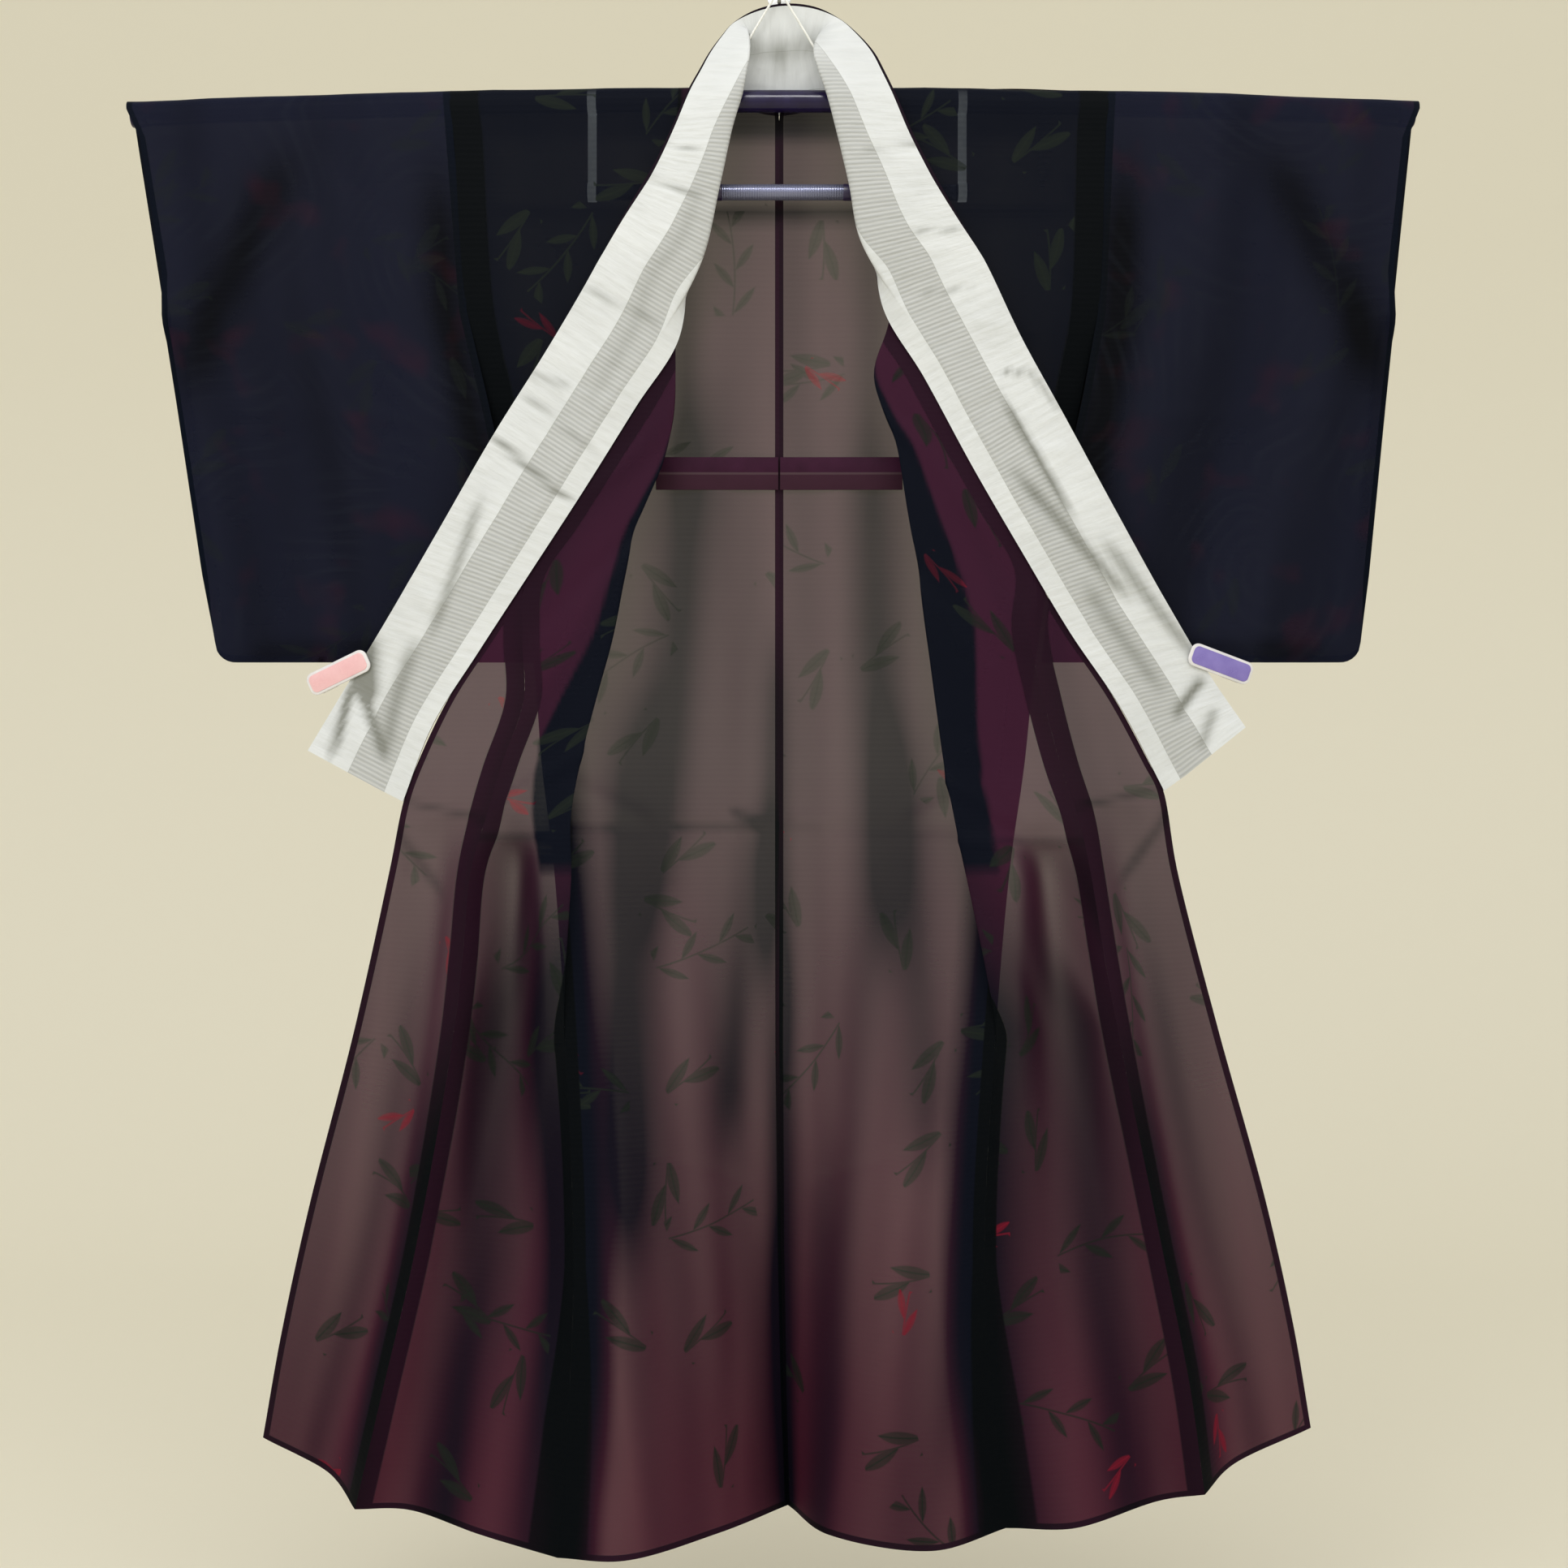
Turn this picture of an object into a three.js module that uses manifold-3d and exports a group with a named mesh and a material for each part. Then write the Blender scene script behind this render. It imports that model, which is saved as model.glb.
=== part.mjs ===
// Summer kimono on a hanger, hung open against a wall: sheer unlined cloth, the fronts turned outward.
//
// Units are millimetres. +X is to the right of someone who faces the garment, +Z is up, and the wall is
// the plane Y = 0, so everything hangs at negative Y. The origin is the centre of the wall hook's back
// face. Left and right are those of the person who faces the garment.

import * as THREE from 'three';
import Module from 'manifold-3d';

const wasm = await Module();
wasm.setup();

// ---- driving dimensions -------------------------------------------------------------------------

const WALL = 1.2; // thickness of a cloth wall
const LINING_WALL = 1.0; // thickness of the collar's lining
const GAP = 0.3; // between two pieces that are sewn together or rest on each other

const BAR_Y = -24; // axis of both hanger bars
const BAR_Z = -113; // axis of the upper bar at its middle
const BAR_RADIUS = 11.4;
const BAR_LEFT = -668;
const BAR_RIGHT = 655;
const BAR_DROOP = 14; // how far the upper bar's ends hang below its middle
const CAP_RADIUS = 12.7; // end caps, which carry the sleeves
const CAP_LENGTH = 16;
const LOWER_BAR_Z = -207;
const LOWER_BAR_RADIUS = 8.6;
const LOWER_BAR_LEFT = -199;
const LOWER_BAR_RIGHT = 195;
const STRAP_WIDTH = 9;
const STRAP_THICK = 1.2;
const STRAP_LEFT_X = -193;
const STRAP_RIGHT_X = 189;

const CLOTH_SAG = 0.1; // the flat facets of the folded cloth dip this far towards the bar
const CLOTH_RADIUS = BAR_RADIUS + GAP + STRAP_THICK + GAP + CLOTH_SAG + WALL / 2; // over bar and straps

const HOOK_Z = -4; // axis of the hook's arm
const HOOK_WIRE = 2; // radius
const HOOK_REACH = 36;
const HOOK_RISE = 14;
const PLATE_RADIUS = 12;
const PLATE_THICK = 3;
const CORD_RADIUS = 1.2;
const CORD_SPREAD = 62; // from the middle to each place where the cord is tied

const NECK_X = 86; // where the collar's seam crosses the shoulder
const SHOULDER_X = 338.5; // the body's edge on the shoulder fold
const ARMHOLE_Z = -330; // end of the sleeve's seam on the body
const SLEEVE_BOTTOM_Z = -692;
const SLEEVE_CORNER = 21; // radius of the outer lower corner
const CORNER_TOP_Z = -600; // above this the rounded corner has no effect
const LEVEL_Z = -150; // below this the cloth no longer follows the bar's bow
const CUFF_OPEN = 230; // open length of the sleeve's outer edge
const CREASE_Z = -905; // storage crease, where the hem's rise begins
const HEM_Z = -1567;
const FOLD_Z = -345; // above this the collar is doubled
const TUCK_Z = -478; // middle of the waist tuck
const TUCK_HEIGHT = 34;
const TUCK_HALF = 128; // half its length

// ---- helpers ------------------------------------------------------------------------------------

const V = (x, y, z) => new THREE.Vector3(x, y, z);

function smooth(points) {
  return new THREE.CatmullRomCurve3(points, false, 'centripetal');
}

// The upper bar is gently bowed: this is how far it lies below its middle at x.
function droop(x) {
  return BAR_DROOP * (x / BAR_RIGHT) ** 2;
}

// A curve of points that fall steadily: the point at height z.
function atHeight(curve, z) {
  let high = 0;
  let low = 1;
  for (let i = 0; i < 40; i += 1) {
    const middle = (high + low) / 2;
    if (curve.getPoint(middle).z > z) high = middle;
    else low = middle;
  }
  return curve.getPoint((high + low) / 2);
}

// One section of a panel: count points evenly along a smooth line through the given ones, stopping
// short of each end by the setbacks.
function section(points, count, startBack = 0, endBack = 0) {
  const curve = smooth(points);
  const length = curve.getLength();
  const share = (i) => THREE.MathUtils.lerp(startBack / length, 1 - endBack / length, i / (count - 1));
  return Array.from({ length: count }, (_, i) => curve.getPointAt(Math.min(share(i), 1)));
}

// Sections that follow each other become a finer grid, smooth across them.
function grid(sections, steps) {
  const columns = sections[0].map((_, c) => smooth(sections.map((row) => row[c])));
  const rows = (sections.length - 1) * steps + 1;
  return Array.from({ length: rows }, (_, r) => columns.map((curve) => curve.getPoint(r / (rows - 1))));
}

function normals(points) {
  return points.map((row, r) =>
    row.map((_, c) => {
      const above = points[Math.max(r - 1, 0)][c];
      const below = points[Math.min(r + 1, points.length - 1)][c];
      const across = row[Math.min(c + 1, row.length - 1)].clone().sub(row[Math.max(c - 1, 0)]);
      return across.cross(below.clone().sub(above)).normalize();
    }),
  );
}

function moved(points, distance) {
  const away = normals(points);
  return points.map((row, r) => row.map((p, c) => p.clone().addScaledVector(away[r][c], distance)));
}

function geometry(vertices, triangles) {
  let volume = 0;
  for (const [a, b, c] of triangles) {
    volume += vertices[a].dot(vertices[b].clone().cross(vertices[c]));
  }
  const index = triangles.flatMap(([a, b, c]) => (volume > 0 ? [a, b, c] : [a, c, b]));
  const made = new THREE.BufferGeometry();
  const numbers = vertices.flatMap((v) => [v.x, v.y, v.z]);
  made.setAttribute('position', new THREE.Float32BufferAttribute(numbers, 3));
  made.setIndex(index);
  made.computeVertexNormals();
  return made;
}

// A closed cloth wall round a grid of points, between two distances along the grid's normals.
function wall(points, from = -WALL / 2, to = WALL / 2) {
  const rows = points.length;
  const columns = points[0].length;
  const vertices = [...moved(points, to).flat(), ...moved(points, from).flat()];
  const back = rows * columns;
  const at = (r, c) => r * columns + c;
  const triangles = [];
  const quad = (a, b, c, d) => triangles.push([a, b, c], [a, c, d]);
  for (let r = 0; r < rows - 1; r += 1) {
    for (let c = 0; c < columns - 1; c += 1) {
      quad(at(r, c), at(r, c + 1), at(r + 1, c + 1), at(r + 1, c));
      quad(back + at(r, c), back + at(r + 1, c), back + at(r + 1, c + 1), back + at(r, c + 1));
    }
    const end = columns - 1;
    quad(at(r, 0), at(r + 1, 0), back + at(r + 1, 0), back + at(r, 0));
    quad(at(r + 1, end), at(r, end), back + at(r, end), back + at(r + 1, end));
  }
  for (let c = 0; c < columns - 1; c += 1) {
    const end = rows - 1;
    quad(at(0, c + 1), at(0, c), back + at(0, c), back + at(0, c + 1));
    quad(at(end, c), at(end, c + 1), back + at(end, c + 1), back + at(end, c));
  }
  return geometry(vertices, triangles);
}

// A closed solid through rings of points, each the same on both sides of its lowest point, foot. Each
// end is closed by a ladder of faces that climbs from the foot and joins points of equal height.
function loft(rings, foot) {
  const size = rings[0].length;
  const triangles = [];
  for (let r = 0; r < rings.length - 1; r += 1) {
    for (let i = 0; i < size; i += 1) {
      const next = (i + 1) % size;
      const [a, b] = [r * size + i, r * size + next];
      triangles.push([a, b, b + size], [a, b + size, a + size]);
    }
  }
  const last = (rings.length - 1) * size;
  const close = (a, b, c) => triangles.push([c, b, a], [last + a, last + b, last + c]);
  for (let step = 0; step < size / 2; step += 1) {
    const [left, right] = [foot - step, (foot + step) % size];
    const [nextLeft, nextRight] = [foot - step - 1, (foot + step + 1) % size];
    if (step > 0) close(left, right, nextRight);
    if (nextLeft !== nextRight) close(left, nextRight, nextLeft);
  }
  return geometry(rings.flat(), triangles);
}

function toSolid(made) {
  return new wasm.Manifold(
    new wasm.Mesh({
      numProp: 3,
      vertProperties: new Float32Array(made.attributes.position.array),
      triVerts: new Uint32Array(made.index.array),
    }),
  );
}

function fromSolid(solid) {
  const mesh = solid.getMesh();
  const made = new THREE.BufferGeometry();
  made.setAttribute('position', new THREE.Float32BufferAttribute(mesh.vertProperties, 3));
  made.setIndex([...mesh.triVerts]);
  made.computeVertexNormals();
  return made;
}

function joined(parts) {
  return fromSolid(parts.map(toSolid).reduce((whole, part) => whole.add(part)));
}

// A round rod of one radius along a line of points: rings of points about the line, closed at its ends.
function tube(points, radius, sides) {
  const rings = points.map((at, i) => {
    const before = points[Math.max(i - 1, 0)];
    const after = points[Math.min(i + 1, points.length - 1)];
    const along = after.clone().sub(before).normalize();
    const side = Math.abs(along.z) > 0.9 ? V(0, 1, 0) : V(0, 0, 1);
    const u = side.clone().cross(along).normalize();
    const w = along.clone().cross(u).normalize();
    return Array.from({ length: sides }, (_, i) => {
      const angle = (2 * Math.PI * i) / sides;
      return at
        .clone()
        .addScaledVector(u, radius * Math.cos(angle))
        .addScaledVector(w, radius * Math.sin(angle));
    });
  });
  const vertices = [...rings.flat(), points[0].clone(), points.at(-1).clone()];
  const triangles = [];
  for (let r = 0; r < rings.length - 1; r += 1) {
    for (let i = 0; i < sides; i += 1) {
      const [a, b] = [r * sides + i, r * sides + ((i + 1) % sides)];
      triangles.push([a, b, b + sides], [a, b + sides, a + sides]);
    }
  }
  const last = (rings.length - 1) * sides;
  for (let i = 0; i < sides; i += 1) {
    const next = (i + 1) % sides;
    triangles.push([vertices.length - 2, next, i], [vertices.length - 1, last + i, last + next]);
  }
  return geometry(vertices, triangles);
}

// ---- collar lines -------------------------------------------------------------------------------
// One row for each station along a half collar, from its lower end up to the back of the neck.
// seam: the edge sewn to the body. roll: the inner line, over which the collar turns outward from the
// neck (on the flat stretch it is only a soft swell). free: the outer edge.

const COLLAR_LEFT = [
  { seam: [-384, -50, -836], roll: [-410, -46, -823], free: [-485, -30, -784] },
  { seam: [-353, -54, -758], roll: [-377, -48, -748], free: [-446, -24, -717] },
  { seam: [-306, -58, -684], roll: [-332, -54, -676], free: [-404, -34, -651] },
  { seam: [-250, -59, -598], roll: [-276, -60, -589], free: [-349, -45, -560] },
  { seam: [-200, -55, -520], roll: [-225, -58, -508], free: [-293, -49, -464] },
  { seam: [-146, -49, -432], roll: [-168, -53, -420], free: [-237, -50, -375] },
  { seam: [-103, -44, -362], roll: [-118, -50, -352], free: [-195, -51, -304] },
  { seam: [-96, -42, -290], roll: [-80, -53, -284], free: [-160, -52, -239] },
  { seam: [-92, -41, -215], roll: [-61, -54, -206], free: [-129, -52, -187] },
  { seam: [-88, -40, -150], roll: [-48, -53, -146], free: [-110, -51, -148] },
  { seam: [-85, -38.8, -118], roll: [-38, -51, -112], free: [-94, -49, -110] },
  { seam: [-84.8, -34.5, -103], roll: [-34, -47, -90], free: [-82, -45, -87] },
  { seam: [-84.5, -24, -99], roll: [-31, -41, -70], free: [-72, -38, -67] },
  { seam: [-83, -13, -104], roll: [-31, -32, -52], free: [-60, -30, -48] },
  { seam: [-74, -9, -110.5], roll: [-33, -22, -38], free: [-48, -23, -32] },
  { seam: [-40, -6.8, -115.8], roll: [-22, -11, -60], free: [-26, -18, -17] },
];
const COLLAR_RIGHT = [
  { seam: [393, -50, -825], roll: [416, -46, -809], free: [480, -30, -760] },
  { seam: [347, -55, -739], roll: [372, -49, -729], free: [448, -24, -712] },
  { seam: [296, -58, -664], roll: [321, -54, -655], free: [397, -34, -630] },
  { seam: [246, -59, -580], roll: [270, -60, -569], free: [346, -45, -542] },
  { seam: [198, -55, -496], roll: [221, -58, -485], free: [291, -49, -442] },
  { seam: [148, -49, -402], roll: [168, -53, -390], free: [246, -50, -360] },
  { seam: [107, -44, -331], roll: [120, -51, -322], free: [211, -51, -287] },
  { seam: [100, -42, -268], roll: [84, -53, -262], free: [184, -52, -240] },
  { seam: [95, -41, -210], roll: [72, -54, -204], free: [160, -52, -198] },
  { seam: [90, -40, -155], roll: [60, -53, -154], free: [137, -51, -154] },
  { seam: [85, -38.8, -118], roll: [49, -51, -112], free: [119, -49, -112] },
  { seam: [84.8, -34.5, -103], roll: [41, -47, -88], free: [108, -45, -88] },
  { seam: [84.5, -24, -99], roll: [36, -41, -68], free: [98, -38, -67] },
  { seam: [83, -13, -104], roll: [39, -32, -51], free: [82, -30, -46] },
  { seam: [74, -9, -110.5], roll: [46, -22, -37], free: [62, -23, -27] },
  { seam: [40, -6.8, -115.8], roll: [28, -11, -60], free: [36, -18, -13] },
];
const COLLAR_BACK = { seam: [0, -6, -123], roll: [1, -10, -62], free: [3, -15, -9] };
const COLLAR_FRONT_ROWS = 11; // stations of each half that lie along the front

function seamLine(half) {
  const front = half.slice(0, COLLAR_FRONT_ROWS).reverse();
  return smooth(front.map((row) => V(...row.seam)));
}
const SEAM_LEFT = seamLine(COLLAR_LEFT);
const SEAM_RIGHT = seamLine(COLLAR_RIGHT);

// The body's edge under the collar's seam edge, at height z. Where the collar is doubled, its lining is
// next to the body.
function underCollar(line, z) {
  const p = atHeight(line, z);
  const lining = z > FOLD_Z ? LINING_WALL + 2 * GAP : 0;
  return V(p.x, p.y + WALL + GAP + lining, z);
}

// ---- body panels --------------------------------------------------------------------------------
// Sections at height z, from the centre of the back outwards. Each column is [x, y].
// back: centre, slope, swell, side. front: side, then turn (where the front doubles back) or the
// bottoms of its two troughs, then seam (the overlap's). Where seam is missing, the edge is the collar's.

const BACK_LEFT = [
  { z: -128, centre: [0, -6], slope: [-110, -7.5], swell: [-220, -8.5], side: [-336.5, -9.5] },
  { z: -330, centre: [0, -6], slope: [-105, -7], swell: [-212, -7], side: [-322, -8] },
  { z: -420, centre: [0, -6], slope: [-101, -7], swell: [-203, -7.5], side: [-302, -8.5] },
  { z: -480, centre: [0, -6], slope: [-98, -7], swell: [-198, -8], side: [-289, -9] },
  { z: -690, centre: [0, -6], slope: [-84, -9], swell: [-172, -12], side: [-254, -16] },
  { z: -800, centre: [0, -7], slope: [-82, -13], swell: [-168, -30], side: [-243, -40] },
  { z: CREASE_Z, centre: [0, -8], slope: [-80, -20], swell: [-163, -55], side: [-227, -76] },
  { z: -1090, centre: [0, -9], slope: [-75, -40], swell: [-156, -86], side: [-213, -96] },
  { z: -1300, centre: [2, -9], slope: [-68, -62], swell: [-150, -120], side: [-204, -116] },
  { z: -1450, centre: [5, -10], slope: [-64, -76], swell: [-150, -142], side: [-209, -132] },
  { z: -1567, centre: [9, -10], slope: [-60, -90], swell: [-152, -160], side: [-217, -147] },
];
const BACK_RIGHT = [
  { z: -128, centre: [0, -6], slope: [110, -7.5], swell: [220, -8.5], side: [337, -9.5] },
  { z: -330, centre: [0, -6], slope: [108, -7], swell: [218, -7], side: [329, -8] },
  { z: -420, centre: [0, -6], slope: [105, -7], swell: [212, -7.5], side: [314, -8.5] },
  { z: -480, centre: [0, -6], slope: [102, -7], swell: [206, -8], side: [301, -9] },
  { z: -690, centre: [0, -6], slope: [88, -9], swell: [178, -12], side: [265, -16] },
  { z: -800, centre: [0, -7], slope: [82, -13], swell: [168, -30], side: [251, -40] },
  { z: CREASE_Z, centre: [0, -8], slope: [76, -20], swell: [162, -55], side: [233, -74] },
  { z: -1090, centre: [0, -9], slope: [70, -42], swell: [156, -84], side: [216, -92] },
  { z: -1300, centre: [2, -9], slope: [62, -66], swell: [150, -114], side: [205, -106] },
  { z: -1450, centre: [5, -10], slope: [56, -84], swell: [150, -132], side: [214, -114] },
  { z: -1567, centre: [9, -10], slope: [50, -100], swell: [152, -142], side: [225, -118] },
];
const FRONT_LEFT = [
  { z: -150, side: [-334.5, -37] },
  { z: -330, side: [-322, -30] },
  { z: -420, side: [-302, -20], turn: [-107, -43] },
  { z: -480, side: [-289, -17], turn: [-116, -45] },
  { z: -556, side: [-277, -18], turn: [-146, -51] },
  { z: -610, side: [-268, -20], turn: [-158, -55] },
  { z: -673, side: [-257, -24], turn: [-170, -59], seam: [-261, -63] },
  { z: -731, side: [-250, -32], turn: [-185, -66], seam: [-259, -65] },
  { z: -800, side: [-243, -47], turn: [-201, -76], seam: [-282, -67] },
  { z: -855, side: [-235, -67], turn: [-209, -87], seam: [-298, -69] },
  {
    z: CREASE_Z,
    side: [-227, -80],
    turn: [-208, -91],
    near: [-240, -87],
    far: [-270, -46],
    seam: [-312, -71],
  },
  {
    z: -1000,
    side: [-219, -90],
    turn: [-213, -99],
    near: [-236, -95],
    far: [-274, -46],
    seam: [-320, -76],
  },
  { z: -1090, side: [-213, -98], near: [-236, -88], far: [-280, -46], seam: [-330, -82] },
  { z: -1300, side: [-204, -117], near: [-254, -72], far: [-322, -62], seam: [-365, -92] },
  { z: -1450, side: [-209, -133], near: [-280, -98], far: [-352, -70], seam: [-398, -98] },
  { z: -1567, side: [-217, -148], near: [-300, -114], far: [-376, -76], seam: [-424, -101] },
];
const FRONT_RIGHT = [
  { z: -150, side: [335.5, -37] },
  { z: -330, side: [329, -30] },
  { z: -400, side: [316, -20], turn: [97, -43] },
  { z: -467, side: [303, -17], turn: [119, -46] },
  { z: -540, side: [291, -18], turn: [131, -51] },
  { z: -600, side: [281, -20], turn: [141, -55] },
  { z: -660, side: [270, -24], turn: [149, -60], seam: [254, -63] },
  { z: -731, side: [260, -32], turn: [158, -67], seam: [268, -65] },
  { z: -800, side: [251, -48], turn: [167, -76], seam: [286, -67] },
  { z: -855, side: [242, -67], turn: [177, -87], seam: [304, -69] },
  { z: CREASE_Z, side: [233, -80], turn: [187, -91], near: [238, -91], far: [272, -48], seam: [315, -71] },
  { z: -1000, side: [224, -89], turn: [206, -100], near: [241, -94], far: [282, -48], seam: [329, -76] },
  { z: -1090, side: [216, -95], near: [242, -88], far: [292, -50], seam: [344, -82] },
  { z: -1300, side: [205, -107], near: [262, -82], far: [335, -66], seam: [383, -92] },
  { z: -1450, side: [214, -116], near: [280, -104], far: [360, -76], seam: [411, -97] },
  { z: -1567, side: [225, -120], near: [290, -130], far: [386, -84], seam: [426, -99] },
];
// Overlap panels: seam, fall (between), edge. Where edge is missing it is the collar's seam.
const OKUMI_LEFT = [
  { z: -632, seam: [-263, -60.5] },
  { z: -673, seam: [-261, -63] },
  { z: -731, seam: [-259, -65] },
  { z: -800, seam: [-282, -67] },
  { z: -835, seam: [-292, -68.3] },
  { z: CREASE_Z, seam: [-312, -71], fall: [-352, -44], edge: [-398, -48] },
  { z: -1090, seam: [-330, -82], fall: [-384, -42], edge: [-436, -38] },
  { z: -1300, seam: [-365, -92], fall: [-412, -44], edge: [-485, -30] },
  { z: -1450, seam: [-398, -98], fall: [-440, -46], edge: [-515, -24] },
  { z: -1567, seam: [-424, -101], fall: [-462, -48], edge: [-534, -20] },
];
const OKUMI_RIGHT = [
  { z: -622, seam: [260, -60.5] },
  { z: -660, seam: [254, -63] },
  { z: -731, seam: [268, -65] },
  { z: -800, seam: [286, -67] },
  { z: -824, seam: [294, -68] },
  { z: CREASE_Z, seam: [315, -71], fall: [358, -44], edge: [407, -47] },
  { z: -1090, seam: [344, -82], fall: [396, -42], edge: [450, -38] },
  { z: -1300, seam: [383, -92], fall: [430, -44], edge: [502, -30] },
  { z: -1450, seam: [411, -97], fall: [458, -46], edge: [532, -24] },
  { z: -1567, seam: [426, -99], fall: [464, -52], edge: [550, -20] },
];
// How far the hem is raised at each line; the rise grows from the crease downwards.
const LIFT_LEFT = {
  ...{ centre: 0, slope: -3, swell: -8, side: -9 },
  ...{ turn: 0, near: 4, far: 16, seam: 24, fall: 45, edge: 73 },
};
const LIFT_RIGHT = {
  ...{ centre: 0, slope: -2, swell: -4, side: 11 },
  ...{ turn: 0, near: 14, far: 28, seam: 38, fall: 55, edge: 83 },
};

function place(row, column, lift) {
  const down = Math.min(Math.max((CREASE_Z - row.z) / (CREASE_Z - HEM_Z), 0), 1);
  return V(row[column][0], row[column][1], row.z + lift[column] * down);
}

const COLUMNS = 10; // points across a body panel
const OKUMI_COLUMNS = 7;
const SHARPEST = 2.4; // radians; a sharper turn at a seam is set back as this one
const SETBACK_LIMIT = 2.2;

// The setback of a panel's edge from the seam, so that two walls that meet at an angle stay apart.
function setback(comingFrom, meeting, goingTo) {
  const turn = meeting.clone().sub(comingFrom).angleTo(goingTo.clone().sub(meeting));
  const mitre = WALL * Math.tan(Math.min(turn, SHARPEST) / 2);
  return 1.5 * GAP + Math.min(mitre, SETBACK_LIMIT);
}

// Rows that carry a panel over the upper bar; behind is +1 for the back and -1 for the front.
function overBar(side, behind) {
  return [4, 34, 64, 90].map((angle) => {
    const turned = THREE.MathUtils.degToRad(angle);
    const y = BAR_Y + behind * CLOTH_RADIUS * Math.sin(turned);
    const rise = CLOTH_RADIUS * Math.cos(turned);
    const across = [NECK_X, (NECK_X + SHOULDER_X) / 2, SHOULDER_X];
    return section(across.map((x) => V(side * x, y, BAR_Z + rise - droop(x))), COLUMNS);
  });
}

function nearest(rows, z) {
  return rows.reduce((best, row) => (Math.abs(row.z - z) < Math.abs(best.z - z) ? row : best));
}

function backPanel(side, rows, lift, fronts) {
  const lower = rows.map((row) => {
    const points = ['centre', 'slope', 'swell', 'side'].map((column) => place(row, column, lift));
    const front = nearest(fronts, row.z);
    const corner = 'near' in front ? setback(points[2], points[3], place(front, 'near', lift)) : 0;
    const mirrored = points[1].clone().setX(2 * points[0].x - points[1].x);
    return section(points, COLUMNS, setback(points[1], points[0], mirrored), corner);
  });
  const made = grid([...overBar(side, 1), ...lower], 2);
  for (const point of made.flat()) {
    const least = point.z > ARMHOLE_Z ? GAP / 2 : -Infinity; // the neck's curve stays on its own side
    point.x = side * Math.max(side * point.x, least);
  }
  return made;
}

function frontPanel(side, rows, lift, line, okumi) {
  const lower = rows.map((row) => {
    const inner = ['side', 'turn', 'near', 'far'].filter((column) => column in row);
    const points = inner.map((column) => place(row, column, lift));
    points.push('seam' in row ? place(row, 'seam', lift) : underCollar(line, row.z));
    const next = okumiPoints(nearest(okumi, row.z), lift, line)[1];
    const atSeam = 'seam' in row ? setback(points.at(-2), points.at(-1), next) : 0;
    return section(points, COLUMNS, 'near' in row ? 1 : 0, atSeam).reverse();
  });
  return grid([...overBar(side, -1), ...lower], 2);
}

function okumiPoints(row, lift, line) {
  const seam = place(row, 'seam', lift);
  const edge = 'edge' in row ? place(row, 'edge', lift) : underCollar(line, row.z);
  const fall = 'fall' in row ? place(row, 'fall', lift) : seam.clone().lerp(edge, 0.5);
  return [seam, fall, edge];
}

function okumiPanel(rows, lift, line, fronts) {
  const sections = rows.map((row) => {
    const points = okumiPoints(row, lift, line);
    const front = nearest(fronts.filter((other) => 'seam' in other), row.z);
    const before = place(front, 'far' in front ? 'far' : 'turn', lift);
    return section(points, OKUMI_COLUMNS, setback(points[1], points[0], before), 0);
  });
  return grid(sections, 3);
}

// ---- sleeves ------------------------------------------------------------------------------------
// A sleeve is a flat bag over the bar. Its profile, from the bar down, is front and back y at height z.

const SLEEVE_PROFILE = [
  { z: -150, front: -37, back: -9.6 },
  { z: -210, front: -35, back: -8.8 },
  { z: -270, front: -32.6, back: -8.2 },
  { z: ARMHOLE_Z, front: -30.4, back: -8 },
  { z: -342, front: -30, back: -8 },
  { z: -350, front: -29.6, back: -8 },
  { z: -460, front: -25, back: -8.6 },
  { z: -560, front: -21.5, back: -9.6 },
  { z: -640, front: -19, back: -10.6 },
  { z: -680, front: -17, back: -11.6 },
];
const SLEEVE_LEFT = {
  inner: [[ARMHOLE_Z, -323], [SLEEVE_BOTTOM_Z, -264]],
  outer: [[-100, -672], [-670, -588], [SLEEVE_BOTTOM_Z, -585]],
};
const SLEEVE_RIGHT = {
  inner: [[ARMHOLE_Z, 330], [SLEEVE_BOTTOM_Z, 276]],
  outer: [[-100, 659], [-670, 605], [SLEEVE_BOTTOM_Z, 603]],
};
const SLEEVE_STATIONS = [0, 0.15, 0.3, 0.45, 0.6, 0.75, 0.9, 0.935, 0.97, 0.99, 1];
const OVER = 6; // how far a hollow is cut past an open end
const ARMHOLE_GAP = 0.4; // between a sleeve and the body's side edges

function along(table, z) {
  for (let i = 0; i < table.length - 1; i += 1) {
    const [z0, x0] = table[i];
    const [z1, x1] = table[i + 1];
    if (z >= z1 || i === table.length - 2) return x0 + ((x1 - x0) * (z - z0)) / (z1 - z0);
  }
  return 0;
}

// The profile's outline with its wall pushed out (grow > 0) or in (grow < 0).
function sleeveRing(grow) {
  const ring = [];
  for (let angle = 0; angle <= 180; angle += 22.5) {
    const turned = THREE.MathUtils.degToRad(angle);
    const radius = CLOTH_RADIUS + grow;
    ring.push([BAR_Y + radius * Math.cos(turned), BAR_Z + radius * Math.sin(turned)]);
  }
  for (const row of SLEEVE_PROFILE) ring.push([row.front - grow, row.z]);
  const bottom = SLEEVE_PROFILE.at(-1);
  ring.push([(bottom.front + bottom.back) / 2, SLEEVE_BOTTOM_Z - grow]);
  for (const row of [...SLEEVE_PROFILE].reverse()) ring.push([row.back + grow, row.z]);
  return ring;
}

// The sleeve's seam, just outside the body's side edges at height z.
function armholeX(armholes, side, z) {
  return side * (Math.max(...armholes.map((line) => side * atHeight(line, z).x)) + ARMHOLE_GAP);
}

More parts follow.
